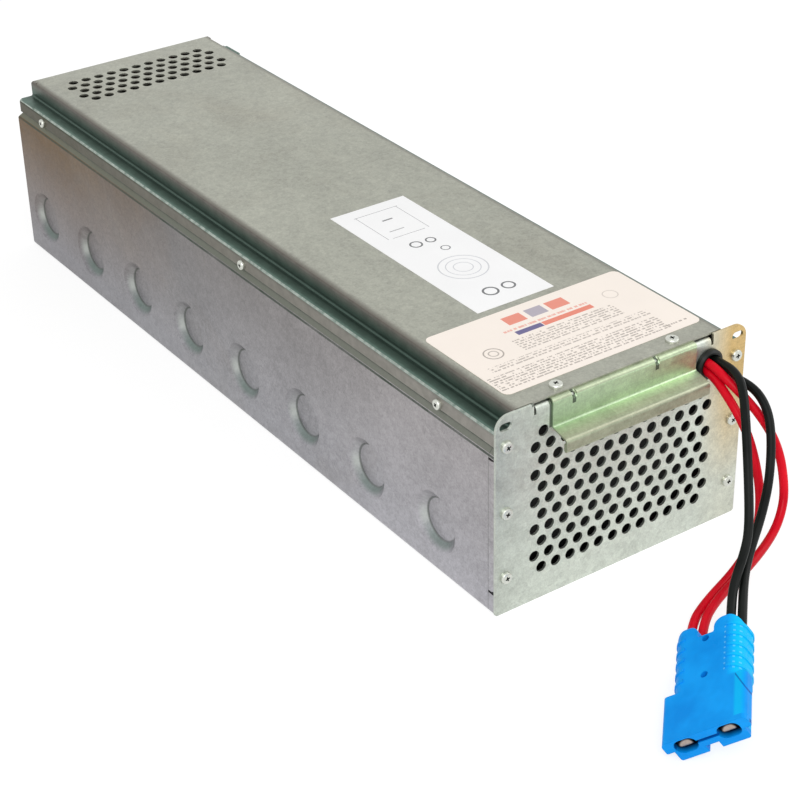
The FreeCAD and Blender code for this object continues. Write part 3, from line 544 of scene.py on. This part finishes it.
def connector_blue(finishes):
    """Connector moulding: cyan-blue, with painted light on the flank, painted shade in the contact hollows,
    across the front face and along the middle valley, painted glints on the grip ribs and a slanting line of
    painted shadow.
    """
    material = moulded_plastic("connector_blue", finishes.housing, 0.42, 500.0, 0.06, 0.0005, 0.10)
    tree, shader, colour = base_colour(material)
    across, rear, up = connector_axes(tree)
    # Painted light: lighter cyan on the flank and a bright band on its rounded edge.
    flank = both(spread(across, 0.0118, 0.0165, 0.0, 0.9), spread(rear, 0.028, 0.032))
    flank_highlight = both(spread(across, 0.0160, 0.0174), spread(across, 0.0200, 0.0222, 1.0, 0.0),
                  between(rear, 0.0030, 0.0300), 0.7)
    # Painted shadow: a slanting dark line where the hood ends.
    slant = plus(rear, times(minus(across, 0.0168), 1.9))
    step = both(between(slant, 0.0282, 0.0296), above(across, 0.0168), above(up, -0.0120), 0.75)
    colour = layered(tree, colour, (flank, finishes.housing_lit_flank), (flank_highlight, finishes.housing_lit_flank),
                     (step, screen(0.0, 0.28, 0.66)))
    # Painted highlights: rows of small glints on the grip ribs.
    rib = below(fraction(ratio(rear, 0.0034)), 0.30)
    on_grip = between(rear, 0.033, 0.064)
    for start, width in ((0.0104, 0.0009), (0.0148, 0.0010), (0.0172, 0.0008)):
        rib_glints = both(rib, on_grip, between(across, start, start + width), above(up, -0.0080), 0.38)
        colour = blend(tree, rib_glints, colour, screen(0.55, 0.90, 1.0))
    # Painted shade: near black in the contact hollows, darker blue in the line across the front face and
    # along the middle valley.
    off_pole = size_of(minus(size_of(across), POLE_OFFSET))
    well_shade = both(below(off_pole, 0.0060), between(up, -0.0100, -0.0007),
                spread(rear, 0.0004, 0.0042), below(rear, 0.0245))
    groove_shade = both(below(off_pole, 0.0114), between(up, -0.0062, -0.0042), between(rear, 0.0003, 0.0024), 0.6)
    valley_shade = both(below(size_of(across), 0.0021), between(up, -0.0080, -0.0004), on_grip, 0.2)
    paint(tree, shader, layered(tree, colour, (well_shade, screen(0.02, 0.05, 0.18)),
                                (groove_shade, screen(0.0, 0.15, 0.55)), (valley_shade, screen(0.0, 0.20, 0.62))))
    return material


def contact_metal(finishes):
    """Worn silver with painted shade: bright in the middle of each end and dark round it, so that it reads as
    round.
    """
    material = plain_metal("contact_silver", finishes.contact, 0.85, 0.42, 0.0004)
    tree, shader, colour = base_colour(material)
    across, _, up = connector_axes(tree)
    off_pole = size_of(minus(size_of(across), POLE_OFFSET))
    off_level = minus(up, -0.0052)
    squares = plus(times(off_pole, off_pole), times(times(off_level, off_level), 2.6))
    # Painted shade: dark ring round each contact end.
    rim = spread(root_of(squares), 0.0027, 0.0036)
    paint(tree, shader, blend(tree, rim, colour, screen(0.10, 0.10, 0.12)))
    return material


def foam_material():
    material, tree, shader = start_material("closed_cell_foam")
    pores = cells(tree, 1400.0)
    shade = blend(tree, pores, (0.018, 0.018, 0.02), (0.035, 0.035, 0.038))
    paint(tree, shader, shade)
    preset(shader, Roughness=0.9)
    soft_edges(tree, shader, pores, 0.5, 0.0002)
    return material


# Print on the labels: plain bars, rings and rows of short dashes
def printed_box(tree, x, y, width, depth):
    across, along, _ = axes(tree)
    return times(between(across, x - width / 2, x + width / 2), between(along, y - depth / 2, y + depth / 2))


def printed_ring(tree, x, y, radius, line):
    across, along, _ = axes(tree)
    return between(distance(minus(across, x), minus(along, y)), radius - line / 2, radius + line / 2)


def printed_rows(tree, x, y, width, depth, pitch):
    """Rows of short dashes that read as small print from a distance."""
    across, along, _ = axes(tree)
    step = ratio(minus(along, y - depth / 2), pitch)
    in_row = below(fraction(step), 0.52)
    row = times(whole(step), 3.7)
    words = add(tree, "TexNoise", noise_dimensions="2D")
    spot = add(tree, "CombineXYZ")
    tree.links.new(times(across, 620.0), spot.inputs["X"])
    tree.links.new(row, spot.inputs["Y"])
    tree.links.new(spot.outputs["Vector"], words.inputs["Vector"])
    preset(words, Scale=1.0, Detail=2.0)
    inked = times(in_row, above(words.outputs["Fac"], 0.46))
    return times(inked, printed_box(tree, x, y, width, depth))


def paper(name, base, prints):
    """Satin label paper; each print is a mask maker, its place and sizes, an ink and a strength."""
    material, tree, shader = start_material(name)
    aged = tuple(c * 0.94 for c in base)
    colour = blend(tree, spread(noise(tree, 30.0, 4.0), 0.4, 0.75, 0.0, 0.5), base, aged)
    for maker, *facts, ink, strength in prints:
        colour = blend(tree, times(maker(tree, *facts), strength), colour, ink)
    paint(tree, shader, colour)
    feed(tree, shader.inputs["Roughness"], spread(noise(tree, 500.0), 0.3, 0.7, 0.42, 0.52))
    soft_edges(tree, shader, noise(tree, 2500.0, 2.0), 0.08, 0.00003, 0.0001)
    return material


def cream_paper(finishes):
    low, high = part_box("cream_label")
    mid_x = (low.x + high.x) / 2
    grey = screen(0.54, 0.50, 0.47)
    navy = screen(0.22, 0.20, 0.50)
    brick = screen(0.90, 0.40, 0.27)
    prints = [
        (printed_box, mid_x - 0.0135, high.y - 0.0110, 0.0120, 0.0085, brick, 0.80),
        (printed_box, mid_x + 0.0010, high.y - 0.0110, 0.0110, 0.0085, navy, 0.55),
        (printed_box, mid_x + 0.0150, high.y - 0.0110, 0.0120, 0.0085, brick, 0.80),
        (printed_rows, mid_x + 0.001, high.y - 0.0190, 0.056, 0.0034, 0.0034, brick, 0.55),
        (printed_box, mid_x - 0.0135, high.y - 0.0243, 0.017, 0.0040, navy, 0.9),
        (printed_box, mid_x + 0.0120, high.y - 0.0243, 0.033, 0.0040, brick, 0.85),
        (printed_rows, mid_x + 0.004, high.y - 0.0345, 0.066, 0.0125, 0.0021, grey, 0.62),
        (printed_rows, mid_x - 0.004, low.y + 0.0240, 0.104, 0.0050, 0.0022, grey, 0.60),
        (printed_rows, mid_x - 0.008, low.y + 0.0112, 0.110, 0.0135, 0.0021, grey, 0.66),
        (printed_ring, low.x + 0.020, low.y + 0.0370, 0.0052, 0.0008, grey, 0.75),
        (printed_ring, low.x + 0.020, low.y + 0.0370, 0.0026, 0.0008, grey, 0.6),
        (printed_ring, high.x - 0.020, high.y - 0.0200, 0.0042, 0.0007, grey, 0.35),
        (printed_rows, high.x - 0.013, low.y + 0.0070, 0.015, 0.0024, 0.0024, grey, 0.7),
    ]
    return paper("cream_label_paper", finishes.cream, prints)


def white_paper(finishes):
    low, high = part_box("white_label")
    mid_x = (low.x + high.x) / 2
    grey = screen(0.30, 0.31, 0.32)
    pale = screen(0.74, 0.75, 0.77)
    line = 0.00045
    top = high.y - 0.027
    prints = [
        (printed_box, mid_x, top + 0.018, 0.030, line, grey, 0.7),
        (printed_box, mid_x, top - 0.016, 0.022, line, grey, 0.7),
        (printed_box, mid_x - 0.014, top + 0.001, line, 0.034, grey, 0.6),
        (printed_box, mid_x + 0.014, top + 0.001, line, 0.034, grey, 0.6),
        (printed_box, mid_x, top + 0.006, 0.007, 0.0014, grey, 0.8),
        (printed_box, mid_x - 0.003, top - 0.008, 0.010, 0.0009, grey, 0.6),
        (printed_ring, mid_x - 0.0050, high.y - 0.0570, 0.0034, 0.0011, grey, 0.9),
        (printed_ring, mid_x + 0.0050, high.y - 0.0570, 0.0028, 0.0010, grey, 0.9),
        (printed_ring, mid_x + 0.006, high.y - 0.0700, 0.0026, 0.0007, grey, 0.9),
        (printed_ring, mid_x, high.y - 0.0950, 0.0140, 0.0008, pale, 0.7),
        (printed_ring, mid_x, high.y - 0.0950, 0.0098, 0.0006, pale, 0.7),
        (printed_ring, mid_x, high.y - 0.0950, 0.0055, 0.0006, pale, 0.7),
        (printed_ring, mid_x - 0.0050, low.y + 0.0160, 0.0042, 0.0013, grey, 0.9),
        (printed_ring, mid_x + 0.0070, low.y + 0.0160, 0.0036, 0.0012, grey, 0.9),
    ]
    return paper("white_label_paper", finishes.white, prints)


def put_in(piece):
    bpy.context.scene.collection.objects.link(piece)


def dress(material, *nodes):
    """Give CAD nodes their finish."""
    for name in nodes:
        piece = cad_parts[name]
        if not piece.data.materials:
            piece.data.materials.append(material)
        for slot in piece.material_slots:
            slot.material = material


def nodes_named(*starts):
    return [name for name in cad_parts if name.startswith(starts)]


class CARTRIDGE_OT_case(Operator):
    """Finish the tray, cover, front panel and handle as zinc coated sheet"""
    bl_idname = "cartridge.case"
    bl_label = "Case sheets"

    def execute(self, context):
        finishes, sizes = context.scene.cartridge_finishes, context.scene.cartridge_sizes
        dress(tray_steel(finishes, sizes), "base_tray")
        dress(cover_steel(finishes, sizes), "top_cover")
        dress(panel_steel(finishes, sizes), "front_panel")
        dress(handle_steel(finishes, sizes), "pull_handle")
        return {"FINISHED"}


def bent_wall(low_z, top_z, outer_y, sheet, outer_radius, left, right):
    """Sheet that rises at the rear and turns forward at its top, drawn in YZ and drawn out along X."""
    outline = [(outer_y, low_z)]
    middle = (outer_y - outer_radius, top_z - outer_radius)
    angles = [math.pi / 2 * step / 8 for step in range(9)]
    for angle in angles:
        outline.append((middle[0] + outer_radius * math.cos(angle),
                        middle[1] + outer_radius * math.sin(angle)))
    overlap = middle[0] - 0.004
    outline += [(overlap, top_z), (overlap, top_z - sheet)]
    inner = outer_radius - sheet
    for angle in reversed(angles):
        outline.append((middle[0] + inner * math.cos(angle), middle[1] + inner * math.sin(angle)))
    outline.append((outer_y - sheet, low_z))
    bm = bmesh.new()
    face = bm.faces.new([bm.verts.new((left, y, z)) for y, z in outline])
    drawn = bmesh.ops.extrude_face_region(bm, geom=[face])
    moved = [item for item in drawn["geom"] if isinstance(item, bmesh.types.BMVert)]
    bmesh.ops.translate(bm, verts=moved, vec=(right - left, 0, 0))
    bmesh.ops.recalc_face_normals(bm, faces=bm.faces)
    return bm


COVER_SHEET = 0.0012
COVER_OUTER_BEND = 0.0024
REAR_WALL_FOOT = 0.1060
SKIN_GAP = 0.00002


class CARTRIDGE_OT_rear_wall(Operator):
    """Close the rear end of the raised part of the cover, which the CAD solid leaves open"""
    bl_idname = "cartridge.rear_wall"
    bl_label = "Rear wall of the cover"

    def execute(self, context):
        sizes = context.scene.cartridge_sizes
        _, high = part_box("top_cover")
        half = sizes.hat_half - COVER_SHEET / 2
        wall = bent_wall(REAR_WALL_FOOT, high.z - SKIN_GAP, high.y - SKIN_GAP, COVER_SHEET - 2 * SKIN_GAP,
                         COVER_OUTER_BEND - SKIN_GAP, sizes.hat_middle - half, sizes.hat_middle + half)
        piece = to_object(wall, "cover_rear_wall")
        piece.data.materials.append(bpy.data.materials["cover_sheet"])
        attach(piece, BODY)
        return {"FINISHED"}


class CARTRIDGE_OT_labels(Operator):
    """Finish the two paper labels with plain generic print"""
    bl_idname = "cartridge.labels"
    bl_label = "Labels"

    def execute(self, context):
        finishes = context.scene.cartridge_finishes
        dress(white_paper(finishes), "white_label")
        dress(cream_paper(finishes), "cream_label")
        return {"FINISHED"}


class CARTRIDGE_OT_inside(Operator):
    """Finish the batteries, boots, jumpers, inner leads, nuts and foam"""
    bl_idname = "cartridge.inside"
    bl_label = "Inside"

    def execute(self, context):
        finishes = context.scene.cartridge_finishes
        dress(moulded_plastic("battery_case", finishes.battery, 0.5), *nodes_named("battery_"))
        dress(moulded_plastic("red_boot", finishes.red_cover, 0.5), "positive_boots")
        dress(moulded_plastic("black_boot", finishes.black_cover, 0.5), "negative_boots")
        dress(moulded_plastic("inner_red_cover", finishes.red_cover, 0.4), *nodes_named("inner_red"))
        dress(moulded_plastic("inner_black_cover", finishes.black_cover, 0.4),
              *nodes_named("inner_black", "short_jumper", "long_jumper"))
        dress(plain_metal("nut_zinc", finishes.screw, 1.0, 0.35, 0.0002), *nodes_named(
            "panel_clinch", "cover_clinch", "handle_clinch"))
        dress(foam_material(), "front_foam_strips", "rear_foam_pad")
        return {"FINISHED"}


def islands(name):
    """Boxes of the separate solids of one CAD node, as (low, high) corners."""
    bm = bmesh.new()
    bm.from_mesh(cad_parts[name].data)
    bmesh.ops.remove_doubles(bm, verts=bm.verts, dist=1e-6)
    seen, boxes = set(), []
    for first in bm.verts:
        if first in seen:
            continue
        seen.add(first)
        group, waiting = [], [first]
        while waiting:
            vert = waiting.pop()
            group.append(vert.co.copy())
            for edge in vert.link_edges:
                other = edge.other_vert(vert)
                if other not in seen:
                    seen.add(other)
                    waiting.append(other)
        low = Vector(min(p[i] for p in group) for i in range(3))
        high = Vector(max(p[i] for p in group) for i in range(3))
        boxes.append((low, high))
    bm.free()
    return boxes


def spun(profile, steps):
    """Turned shape about Z from (radius, height) points that start and end on the axis."""
    bm = bmesh.new()
    verts = [bm.verts.new((r, 0.0, z)) for r, z in profile]
    edges = [bm.edges.new(pair) for pair in zip(verts, verts[1:])]
    bmesh.ops.spin(bm, geom=verts + edges, cent=(0, 0, 0), axis=(0, 0, 1), angle=2 * math.pi, steps=steps,
                   use_merge=True)
    bmesh.ops.remove_doubles(bm, verts=bm.verts, dist=1e-7)
    bmesh.ops.recalc_face_normals(bm, faces=bm.faces)
    return bm


def to_object(bm, name):
    mesh = bpy.data.meshes.new(name)
    bm.to_mesh(mesh)
    bm.free()
    piece = bpy.data.objects.new(name, mesh)
    put_in(piece)
    return piece


def recess_tool(width, reach, depth, top):
    """Tapered arm of the cross recess, along X."""
    bm = bmesh.new()
    bmesh.ops.create_cube(bm, size=1.0)
    for vert in bm.verts:
        deep = vert.co.z < 0
        vert.co.x *= reach * (0.45 if deep else 1.0)
        vert.co.y *= width * (0.7 if deep else 1.0)
        vert.co.z = top - depth if deep else top + 0.001
    return to_object(bm, "recess_tool")


def cut_away(piece, tools):
    """Cut the tools from a piece and take them out of the scene."""
    for tool in tools:
        cut = piece.modifiers.new("cut", "BOOLEAN")
        cut.operation = "DIFFERENCE"
        cut.solver = "EXACT"
        cut.object = tool
    evaluated = piece.evaluated_get(bpy.context.evaluated_depsgraph_get())
    mesh = bpy.data.meshes.new_from_object(evaluated)
    for extra in [piece] + tools:
        bpy.data.objects.remove(extra, do_unlink=True)
    return mesh


def screw_mesh(radius, height, shank_radius, shank, sizes):
    """Flat pan head with a cross recess, standing on Z = 0, with its plain shank below."""
    profile = [(0.0, height), (radius * 0.70, height), (radius * 0.88, height * 0.90),
               (radius * 0.97, height * 0.62), (radius, height * 0.30), (radius, 0.0),
               (shank_radius, 0.0), (shank_radius, -shank), (0.0, -shank)]
    head = to_object(spun(profile, sizes.head_segments), "screw_head")
    reach = radius * 1.05
    first = recess_tool(sizes.recess_width, reach, sizes.recess_depth, height)
    second = recess_tool(sizes.recess_width, reach, sizes.recess_depth, height)
    second.data.transform(Matrix.Rotation(math.pi / 2, 4, "Z"))
    mesh = cut_away(head, [first, second])
    # Faces inside the cross recess take the second, dark material: painted shade.
    for face in mesh.polygons:
        middle = face.center
        inside = math.hypot(middle.x, middle.y) < radius * 0.60 and 0.0002 < middle.z < height - 0.00005
        face.material_index = 1 if inside else 0
    return mesh


def screw_group(context, node, direction, turn):
    """Detailed screws in place of the plain ones of one CAD node, all facing one way or outwards across X."""
    sizes = context.scene.cartridge_sizes
    group = bmesh.new()
    for number, (low, high) in enumerate(islands(node)):
        outward = direction.copy()
        if outward.x and low.x + high.x < 0:
            outward.x = -1.0
        axis = max(range(3), key=lambda i: abs(outward[i]))
        centre = (low + high) / 2
        radius = (high[(axis + 1) % 3] - low[(axis + 1) % 3]) / 2
        length = high[axis] - low[axis]
        height = HEAD_HEIGHT[node]
        mesh = screw_mesh(radius, height, SHANK_RADIUS, length - height, sizes)
        foot = centre.copy()
        foot[axis] = (high[axis] - height) if outward[axis] > 0 else (low[axis] + height)
        spin = Matrix.Rotation(turn + 0.9 * number, 4, "Z")
        aim = Vector((0, 0, 1)).rotation_difference(outward).to_matrix().to_4x4()
        mesh.transform(Matrix.Translation(foot) @ aim @ spin)
        group.from_mesh(mesh)
        bpy.data.meshes.remove(mesh)
    piece = to_object(group, node + "_detailed")
    piece.data.materials.append(bpy.data.materials["screw_zinc"])
    piece.data.materials.append(bpy.data.materials["screw_recess_shade"])
    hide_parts(node)
    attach(piece, BODY)


SHANK_RADIUS = 0.00195
HEAD_HEIGHT = {
    "front_panel_screws": 0.0020,
    "cover_side_screws": 0.0017,
    "cover_top_screws": 0.0016,
    "cover_rear_screws": 0.0017,
}


class CARTRIDGE_OT_screws(Operator):
    """Model the cross-recessed screws of the case"""
    bl_idname = "cartridge.screws"
    bl_label = "Screws"

    def execute(self, context):
        plain_metal("screw_zinc", context.scene.cartridge_finishes.screw, 0.95, 0.36, 0.0001)
        # Dark material for the cross recesses: painted shade.
        plain_metal("screw_recess_shade", screen(0.12, 0.13, 0.12), 0.3, 0.60, 0.0001)
        screw_group(context, "front_panel_screws", Vector((0, -1, 0)), 0.3)
        screw_group(context, "cover_side_screws", Vector((1, 0, 0)), 0.8)
        screw_group(context, "cover_top_screws", Vector((0, 0, 1)), 0.5)
        screw_group(context, "cover_rear_screws", Vector((0, 1, 0)), 0.1)
        return {"FINISHED"}


# Free leads: length and route points in metres, from the grommet to the connector
LEADS = {
    "black_lead_1": (0.1723, [
        (0.0585, -0.2573, 0.1050), (0.0585, -0.2672, 0.1050), (0.0580, -0.2787, 0.1055),
        (0.0545, -0.2892, 0.1025), (0.0445, -0.3032, 0.0915), (0.0310, -0.3217, 0.0700),
        (0.0215, -0.3337, 0.0550), (0.0140, -0.3402, 0.0480), (-0.0025, -0.3497, 0.0380),
        (-0.0116, -0.3585, 0.0320), (-0.0245, -0.3722, 0.0291),
    ]),
    "black_lead_2": (0.1780, [
        (0.0585, -0.2573, 0.1000), (0.0585, -0.2672, 0.1000), (0.0635, -0.2847, 0.0985),
        (0.0640, -0.2957, 0.0935), (0.0605, -0.3057, 0.0840), (0.0485, -0.3192, 0.0660),
        (0.0345, -0.3292, 0.0535), (0.0180, -0.3387, 0.0425), (0.0070, -0.3472, 0.0370),
        (-0.0077, -0.3623, 0.0326), (-0.0206, -0.3760, 0.0298),
    ]),
    "red_lead_1": (0.1913, [
        (0.0535, -0.2573, 0.1000), (0.0535, -0.2672, 0.1000), (0.0510, -0.2837, 0.0935),
        (0.0505, -0.2942, 0.0855), (0.0505, -0.3022, 0.0760), (0.0495, -0.3117, 0.0560),
        (0.0445, -0.3182, 0.0395), (0.0375, -0.3212, 0.0310), (0.0225, -0.3262, 0.0230),
        (-0.0075, -0.3357, 0.0205), (-0.0241, -0.3442, 0.0194), (-0.0370, -0.3578, 0.0166),
    ]),
    "red_lead_2": (0.2112, [
        (0.0535, -0.2573, 0.1050), (0.0535, -0.2672, 0.1050), (0.0540, -0.2787, 0.1010),
        (0.0610, -0.2947, 0.0880), (0.0670, -0.3057, 0.0700), (0.0675, -0.3122, 0.0470),
        (0.0615, -0.3167, 0.0355), (0.0510, -0.3212, 0.0280), (0.0275, -0.3302, 0.0250),
        (-0.0035, -0.3397, 0.0235), (-0.0202, -0.3480, 0.0201), (-0.0330, -0.3616, 0.0172),
    ]),
}


def lead_curve(name, points, diameter, material):
    """Round lead on a smooth spline whose control points are the route points."""
    curve = bpy.data.curves.new(name + "_soft", "CURVE")
    curve.dimensions = "3D"
    curve.bevel_depth = diameter / 2
    curve.bevel_resolution = 6
    curve.resolution_u = 10
    curve.use_fill_caps = True
    spline = curve.splines.new("NURBS")
    spline.points.add(len(points) - 1)
    for point, where in zip(spline.points, points):
        point.co = (*where, 1.0)
    spline.order_u = 3
    spline.use_endpoint_u = True
    piece = bpy.data.objects.new(name + "_soft", curve)
    put_in(piece)
    curve.materials.append(material)
    return piece


class CARTRIDGE_OT_leads(Operator):
    """Lay the two red and two black leads from the grommet to the connector"""
    bl_idname = "cartridge.leads"
    bl_label = "Leads"

    def execute(self, context):
        finishes, sizes = context.scene.cartridge_finishes, context.scene.cartridge_sizes
        covers = {tone: moulded_plastic(tone + "_lead_cover", colour, 0.36, 700.0, 0.05, gloss=0.14)
                  for tone, colour in (("red", finishes.red_cover), ("black", finishes.black_cover))}
        for name, (length, points) in LEADS.items():
            tone = name.split("_")[0]
            piece = lead_curve(name, points, sizes.lead_diameter, covers[tone])
            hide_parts(name)
            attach(piece, BODY)
        return {"FINISHED"}


class CARTRIDGE_OT_connector(Operator):
    """Finish the two-pole connector and the cable grommet"""
    bl_idname = "cartridge.connector"
    bl_label = "Connector and grommet"

    def execute(self, context):
        finishes = context.scene.cartridge_finishes
        dress(connector_blue(finishes), "connector_housing")
        dress(contact_metal(finishes), "positive_contact", "negative_contact")
        dress(plain_metal("spring_bright", finishes.screw, 1.0, 0.25, 0.0001), "contact_springs")
        dress(moulded_plastic("grommet_rubber", finishes.black_cover, 0.45), "cable_grommet")
        return {"FINISHED"}


def shown_ray(tree):
    """One for camera, glossy and transmission rays, and zero for the light that matt surfaces gather."""
    path = add(tree, "LightPath")
    seen = larger(path.outputs["Is Camera Ray"], path.outputs["Is Glossy Ray"])
    return larger(seen, path.outputs["Is Transmission Ray"])


def floor_material():
    """Pale floor: white where it is lit, and still darker in the object's shadow."""
    material = bpy.data.materials.new("studio_floor")
    material.use_nodes = True
    tree = material.node_tree
    tree.nodes.clear()
    output = add(tree, "OutputMaterial")
    gathered = add(tree, "BsdfDiffuse")
    preset(gathered, Color=(0.80, 0.80, 0.80, 1.0))
    shown = add(tree, "BsdfDiffuse")
    preset(shown, Color=(0.36, 0.36, 0.36, 1.0))
    glow = add(tree, "Emission")
    preset(glow, Strength=0.74)
    total = add(tree, "AddShader")
    tree.links.new(shown.outputs["BSDF"], total.inputs[0])
    tree.links.new(glow.outputs["Emission"], total.inputs[1])
    pick = add(tree, "MixShader")
    tree.links.new(shown_ray(tree), pick.inputs["Fac"])
    tree.links.new(gathered.outputs["BSDF"], pick.inputs[1])
    tree.links.new(total.outputs["Shader"], pick.inputs[2])
    tree.links.new(pick.outputs["Shader"], output.inputs["Surface"])
    return material


def white_world(strength):
    """Sky of one strength for matt surfaces and plain white where it is seen or mirrored."""
    world = bpy.data.worlds.new("studio_sky")
    bpy.context.scene.world = world
    world.use_nodes = True
    tree = world.node_tree
    tree.nodes.clear()
    output = add(tree, "OutputWorld")
    sky = add(tree, "Background")
    preset(sky, Color=(1.0, 1.0, 1.0, 1.0))
    level = plus(times(shown_ray(tree), 1.0 - strength), strength)
    tree.links.new(level, sky.inputs["Strength"])
    tree.links.new(sky.outputs["Background"], output.inputs["Surface"])


def area_lamp(name, power, size, where, target):
    lamp = bpy.data.lights.new(name, "AREA")
    lamp.energy = power
    lamp.shape = "DISK"
    lamp.size = size
    holder = bpy.data.objects.new(name, lamp)
    holder.location = where
    holder.rotation_euler = (Vector(target) - Vector(where)).to_track_quat("-Z", "Y").to_euler()
    put_in(holder)


# Directions of the camera, as columns of its rotation
CAMERA_RIGHT = Vector((0.82154265, -0.56974336, -0.02145181))
CAMERA_UP = Vector((0.30895172, 0.41324075, 0.85661013))
CAMERA_BACK = Vector((-0.47918318, -0.71036933, 0.51551808))


def make_camera(studio):
    data = bpy.data.cameras.new("photo_view")
    data.lens = studio.lens
    data.sensor_width = 36.0
    data.clip_end = 50.0
    camera = bpy.data.objects.new("photo_view", data)
    put_in(camera)
    turn = Matrix((CAMERA_RIGHT, CAMERA_UP, CAMERA_BACK)).transposed().to_4x4()
    camera.matrix_world = Matrix.Translation(studio.camera_place) @ turn
    bpy.context.scene.camera = camera


class CARTRIDGE_OT_studio(Operator):
    """Set the pale floor, the soft lamps, the white sky and the camera"""
    bl_idname = "cartridge.studio"
    bl_label = "Studio"

    def execute(self, context):
        studio = context.scene.cartridge_studio
        bm = bmesh.new()
        bmesh.ops.create_grid(bm, x_segments=1, y_segments=1, size=studio.floor_size / 2)
        floor = to_object(bm, "studio_floor")
        floor.data.materials.append(floor_material())
        white_world(studio.sky)
        area_lamp("key_lamp", studio.key_power, 1.2, (-1.1, -1.5, 1.5), (0, -0.1, 0.05))
        area_lamp("fill_lamp", studio.fill_power, 1.4, (1.6, -0.9, 1.3), (0, 0, 0.05))
        make_camera(studio)
        context.scene.view_settings.view_transform = "Standard"
        return {"FINISHED"}


OPERATORS = (
    CARTRIDGE_OT_studio, CARTRIDGE_OT_leads, CARTRIDGE_OT_connector, CARTRIDGE_OT_case,
    CARTRIDGE_OT_rear_wall, CARTRIDGE_OT_labels, CARTRIDGE_OT_inside, CARTRIDGE_OT_screws,
)


class CARTRIDGE_PT_sidebar(Panel):
    """Sidebar list of the steps that finish the cartridge"""
    bl_idname = "CARTRIDGE_PT_sidebar"
    bl_label = "Battery cartridge"
    bl_space_type = "VIEW_3D"
    bl_region_type = "UI"
    bl_category = "Cartridge"

    def draw(self, context):
        column = self.layout.column(align=True)
        for step in OPERATORS:
            column.operator(step.bl_idname)
        scene = context.scene
        for group in (scene.cartridge_finishes, scene.cartridge_sizes, scene.cartridge_studio):
            for name in group.__annotations__:
                self.layout.prop(group, name)


GROUPS = (CartridgeFinishes, CartridgeSizes, StudioSettings)


def register():
    for part in GROUPS + OPERATORS + (CARTRIDGE_PT_sidebar,):
        bpy.utils.register_class(part)
    bpy.types.Scene.cartridge_finishes = PointerProperty(type=CartridgeFinishes)
    bpy.types.Scene.cartridge_sizes = PointerProperty(type=CartridgeSizes)
    bpy.types.Scene.cartridge_studio = PointerProperty(type=StudioSettings)


def unregister():
    del bpy.types.Scene.cartridge_studio
    del bpy.types.Scene.cartridge_sizes
    del bpy.types.Scene.cartridge_finishes
    for part in reversed(GROUPS + OPERATORS + (CARTRIDGE_PT_sidebar,)):
        bpy.utils.unregister_class(part)


def main():
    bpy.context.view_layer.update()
    register()
    for step in OPERATORS:
        category, name = step.bl_idname.split(".")
        getattr(getattr(bpy.ops, category), name)()


if __name__ == "__main__":
    main()
